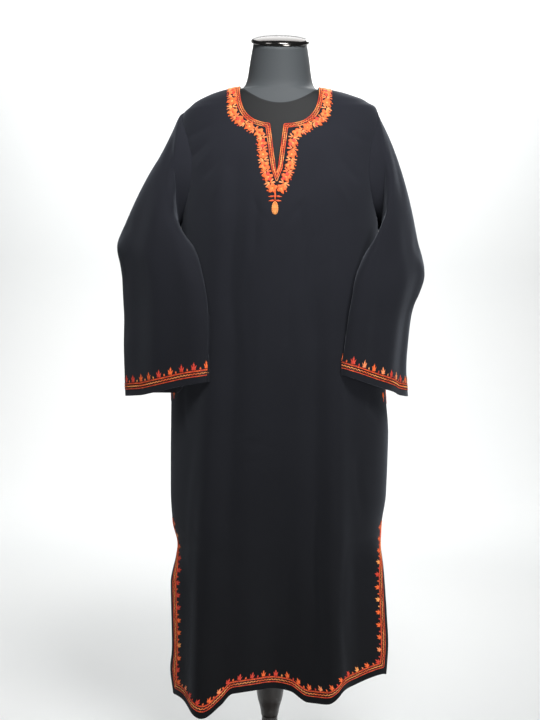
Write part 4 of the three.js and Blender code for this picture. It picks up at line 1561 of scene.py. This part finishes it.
def bump(tree, shader, height, distance, strength):
    """A Bump node on the shader's normal."""
    node = tree.nodes.new("ShaderNodeBump")
    node.inputs["Distance"].default_value = distance
    node.inputs["Strength"].default_value = strength
    tree.links.new(height, node.inputs["Height"])
    tree.links.new(node.outputs["Normal"], shader.inputs["Normal"])


def blend_colours(tree, mask, first, second):
    """A colour that goes from first to second with a mask; either may be a socket."""
    node = tree.nodes.new("ShaderNodeMix")
    node.data_type = "RGBA"
    tree.links.new(mask, node.inputs["Factor"])
    for socket, value in zip((node.inputs[6], node.inputs[7]), (first, second)):
        if isinstance(value, tuple):
            socket.default_value = (*value, 1)
        else:
            tree.links.new(value, socket)
    return node.outputs[2]


def map_range(tree, value, low, high):
    """A value spread so that it is 0 at low and 1 at high."""
    node = tree.nodes.new("ShaderNodeMapRange")
    node.inputs["From Min"].default_value = low
    node.inputs["From Max"].default_value = high
    tree.links.new(value, node.inputs["Value"])
    return node.outputs[0]


def split_axes(tree, vector):
    """The three numbers of a vector, by axis."""
    node = tree.nodes.new("ShaderNodeSeparateXYZ")
    tree.links.new(vector, node.inputs[0])
    return node.outputs


def hard_surface(name, roughness, metallic, scales, shades, relief):
    """A finish with a fine grain: two shades and a relief of (distance, strength)."""
    material, shader, tree = new_material(name, roughness, metallic)
    values = {"Fine": scales[0], "Broad": scales[1]}
    grain = place_group(tree, GRAIN, coordinates(tree, "Object"), values)
    colour = blend_colours(tree, grain.outputs["Mask"], *shades)
    tree.links.new(colour, shader.inputs["Base Color"])
    if relief:
        bump(tree, shader, grain.outputs["Height"], *relief)
    return material, shader


def black_wool():
    """Fine black wool with a faint nap; its colour is painted paler and bluer towards the shoulders, as
    painted light from above.
    """
    material, shader, tree = new_material("black_wool", 0.86)
    weave = place_group(tree, WEAVE, coordinates(tree, "UV"), {"Threads": 5200.0, "Nap": 420.0})
    height = split_axes(tree, coordinates(tree, "Object"))["Z"]
    # Painted light: the colour grows paler and bluer with height, standing in for the light that falls
    # on the upper cloth.
    painted_top_light = map_range(tree, height, PALE_FROM, PALE_TO)
    patch = weave.outputs["Patch"]
    low = blend_colours(tree, patch, (0.0042, 0.0044, 0.0052), (0.0058, 0.0061, 0.0070))
    high = blend_colours(tree, patch, (0.0115, 0.0122, 0.0162), (0.0156, 0.0165, 0.0220))
    colour = blend_colours(tree, painted_top_light, low, high)
    tree.links.new(colour, shader.inputs["Base Color"])
    shader.inputs["Sheen Weight"].default_value = 0.16
    shader.inputs["Sheen Roughness"].default_value = 0.45
    shader.inputs["Sheen Tint"].default_value = (0.72, 0.78, 0.90, 1)
    shader.inputs["Specular IOR Level"].default_value = 0.08
    bump(tree, shader, weave.outputs["Height"], 0.00025, 0.5)
    return material


def silky_thread():
    """Space-dyed thread that takes its shade from the stitches."""
    material, shader, tree = new_material("silky_thread", 0.5)
    dye = tree.nodes.new("ShaderNodeAttribute")
    dye.attribute_name = "thread"
    grain = place_group(tree, GRAIN, coordinates(tree, "Object"), {"Fine": 2600.0, "Broad": 60.0})
    dark = tree.nodes.new("ShaderNodeMix")
    dark.data_type = "RGBA"
    dark.blend_type = "MULTIPLY"
    tree.links.new(grain.outputs["Mask"], dark.inputs["Factor"])
    tree.links.new(dye.outputs["Color"], dark.inputs[6])
    dark.inputs[7].default_value = (0.78, 0.72, 0.70, 1)
    tree.links.new(dark.outputs[2], shader.inputs["Base Color"])
    shader.inputs["Specular IOR Level"].default_value = 0.3
    bump(tree, shader, grain.outputs["Height"], 0.0002, 0.4)
    return material


def form_cover():
    """The form's dark cover, with a seam where neck and body meet; the body below the seam is painted
    much darker than the neck, a painted shade.
    """
    material, shader, tree = new_material("form_cover", 0.65)
    place = coordinates(tree, "Object")
    grain = place_group(tree, GRAIN, place, {"Fine": 900.0, "Broad": 12.0})
    axes = split_axes(tree, place)
    bow = math_node(tree, "MULTIPLY", math_node(tree, "POWER", axes["X"], 2.0), SEAM_BOW)
    above_seam = math_node(tree, "SUBTRACT", axes["Z"], NECK_SEAM)
    seam = math_node(tree, "SUBTRACT", above_seam, bow)
    above = map_range(tree, seam, -0.0008, 0.0008)
    near = map_range(tree, math_node(tree, "ABSOLUTE", seam, 0), 0.0006, 0.0018)
    # Painted shade: neck and body are one cover, and the body's near-black colour stands in for the
    # shade inside the garment's neckline.
    body = blend_colours(tree, grain.outputs["Mask"], (0.003, 0.0034, 0.0037), (0.004, 0.0045, 0.005))
    cover = blend_colours(tree, above, body, (0.052, 0.058, 0.062))
    shader.inputs["Specular IOR Level"].default_value = 0.25
    colour = blend_colours(tree, near, (0.008, 0.008, 0.009), cover)
    tree.links.new(colour, shader.inputs["Base Color"])
    rough = math_node(tree, "MULTIPLY", grain.outputs["Height"], 0.15)
    height = math_node(tree, "ADD", rough, near)
    bump(tree, shader, height, 0.0006, 0.5)
    return material


def bright_cap():
    """Polished metal, very slightly brushed."""
    shades = ((0.10, 0.095, 0.09), (0.14, 0.13, 0.125))
    return hard_surface("bright_cap", 0.14, 1.0, (1200.0, 30.0), shades, (0.00005, 0.3))[0]


def black_stand():
    """Turned wood under satin black paint."""
    shades = ((0.010, 0.009, 0.009), (0.022, 0.018, 0.016))
    material, shader = hard_surface("black_stand", 0.36, 0.0, (500.0, 20.0), shades, (0.0001, 0.35))
    shader.inputs["Coat Weight"].default_value = 0.25
    shader.inputs["Coat Roughness"].default_value = 0.2
    return material


def pale_stage():
    """A plain pale floor and wall."""
    shades = ((0.78, 0.80, 0.80), (0.82, 0.82, 0.81))
    return hard_surface("pale_stage", 0.9, 0.0, (60.0, 0.7), shades, None)[0]


def finish(pieces_of_kind, material):
    """Gives pieces a material and lets them ride with the body."""
    for piece in pieces_of_kind:
        piece.data.materials.clear()
        piece.data.materials.append(material)
        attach(piece, BODY)


finish([front, back, left, right], black_wool())
finish(pieces.values(), silky_thread())
finish([form], form_cover())
finish([cap], bright_cap())
finish([post, base], black_stand())
print("materials:", sorted(m.name for m in bpy.data.materials if m.users))

# %% [markdown]
# ## What stands for what
#
# Each cloth piece takes the place of its solid, which is hidden. The table lists the size that each was
# cut to before it was sewn, and the borders worked on it. The widths, the panels' lengths and the areas
# were measured on the finished pieces, and the sleeves' lengths were added up along the outer edges of
# their rings, good to about two centimetres.

CUTS = [
    # piece, node, width and length and area of the flat cut, needlework on it
    (front, "front_panel", (0.60, 1.26), 0.61, ["front_border", "neck_embroidery"]),
    (back, "back_panel", (0.59, 1.25), 0.615, ["back_border", "nape_embroidery"]),
    (left, "left_sleeve", (0.54, 0.60), 0.197, ["left_cuff_border"]),
    (right, "right_sleeve", (0.58, 0.58), 0.182, ["right_cuff_border"]),
]
for piece, node, flat, area, work in CUTS:
    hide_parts(node)
    worked = [pieces[name] for name in work]
print("sheets declared:", len(CUTS))

# %% [markdown]
# ## Floor, light and camera
#
# A plain pale floor that curves up into a wall keeps the background quiet. Black cloth needs little
# light and the pale wall needs much, so each has its own: a small key above and in front, two weak
# fills and one light behind for the garment, and two wide panels for the floor and the wall. The
# garment's lights have a narrow spread, and the sky is faint. The camera stands at chest height,
# looks very slightly down and leans by less than a degree, as the picture's does.

# %% Stage and light
FLOOR_WIDTH = 12.0
WALL_AT = 4.6
WALL_HEIGHT = 4.5
WALL_CURVE = 1.2


def stage_sweep():
    """A floor whose back edge is drawn up into a wall, with a wide curve between."""
    clear_selection()
    bpy.ops.mesh.primitive_plane_add(size=FLOOR_WIDTH, location=(0, WALL_AT - FLOOR_WIDTH / 2, 0))
    sweep = bpy.context.object
    sweep.name = "stage_sweep"
    bpy.ops.object.mode_set(mode="EDIT")
    bpy.ops.mesh.select_all(action="DESELECT")
    bpy.ops.object.mode_set(mode="OBJECT")
    for edge in sweep.data.edges:
        edge.select = all(sweep.data.vertices[i].co.y > 0 for i in edge.vertices)
    bpy.ops.object.mode_set(mode="EDIT")
    bpy.ops.mesh.select_mode(type="EDGE")
    bpy.ops.mesh.extrude_region_move(TRANSFORM_OT_translate={"value": (0, 0, WALL_HEIGHT)})
    bpy.ops.object.mode_set(mode="OBJECT")
    bpy.ops.object.transform_apply(location=True, rotation=True, scale=True)
    curve = sweep.modifiers.new("curve", "BEVEL")
    curve.width = WALL_CURVE
    curve.segments = 16
    bpy.ops.object.modifier_apply(modifier=curve.name)
    smooth_shading(sweep, 60)
    sweep.data.materials.append(pale_stage())


def soft_panel(name, place, target, size, power, spread=180):
    """A square light that faces a point; a narrow spread keeps it off the floor."""
    light = bpy.data.lights.new(name, "AREA")
    light.size = size
    light.energy = power
    light.spread = math.radians(spread)
    lamp = bpy.data.objects.new(name, light)
    lamp.location = place
    lamp.rotation_euler = (Vector(target) - Vector(place)).to_track_quat("-Z", "Y").to_euler()
    bpy.context.scene.collection.objects.link(lamp)


stage_sweep()
soft_panel("key", (0.28, -1.2, 2.4), (0, 0, 1.42), 0.6, 7.6, 70)
soft_panel("left_fill", (-1.5, -1.5, 2.4), (0, 0, 1.3), 0.8, 2.2, 80)
soft_panel("low_fill", (0.95, -2.0, 0.6), (0, 0, 0.35), 0.8, 9, 90)
soft_panel("back_fill", (1.3, 2.5, 3.1), (0, 0, 1.0), 0.8, 12, 80)
soft_panel("floor_light", (0, 1.9, 3.6), (0, 2.3, 0), 2.4, 52)
soft_panel("wall_wash", (0, 3.0, 3.4), (0, WALL_AT, 2.0), 2.8, 108)
sky = bpy.data.worlds.new("pale_sky")
sky.use_nodes = True
background = sky.node_tree.nodes["Background"]
background.inputs["Color"].default_value = (0.93, 0.96, 1.0, 1)
background.inputs["Strength"].default_value = 0.10
bpy.context.scene.world = sky
bpy.context.scene.view_settings.view_transform = "Standard"

# %% Camera at the picture's angle
CAMERA_PLACE = (-0.0104, -2.4, 0.984)
SENSOR = 36
FOCAL_PIXELS = 1200
PICTURE_HEIGHT = 720
HORIZON_ABOVE_MIDDLE = 60
LEAN = math.radians(0.88)

lens = bpy.data.cameras.new("camera")
lens.sensor_width = SENSOR
lens.lens = SENSOR * FOCAL_PIXELS / PICTURE_HEIGHT
camera = bpy.data.objects.new("camera", lens)
pitch = math.pi / 2 - math.atan(HORIZON_ABOVE_MIDDLE / FOCAL_PIXELS)
camera.matrix_world = (
    Matrix.Translation(CAMERA_PLACE) @ Matrix.Rotation(pitch, 4, "X") @ Matrix.Rotation(LEAN, 4, "Z")
)
bpy.context.scene.collection.objects.link(camera)
bpy.context.scene.camera = camera
print("lens:", lens.lens, "mm")
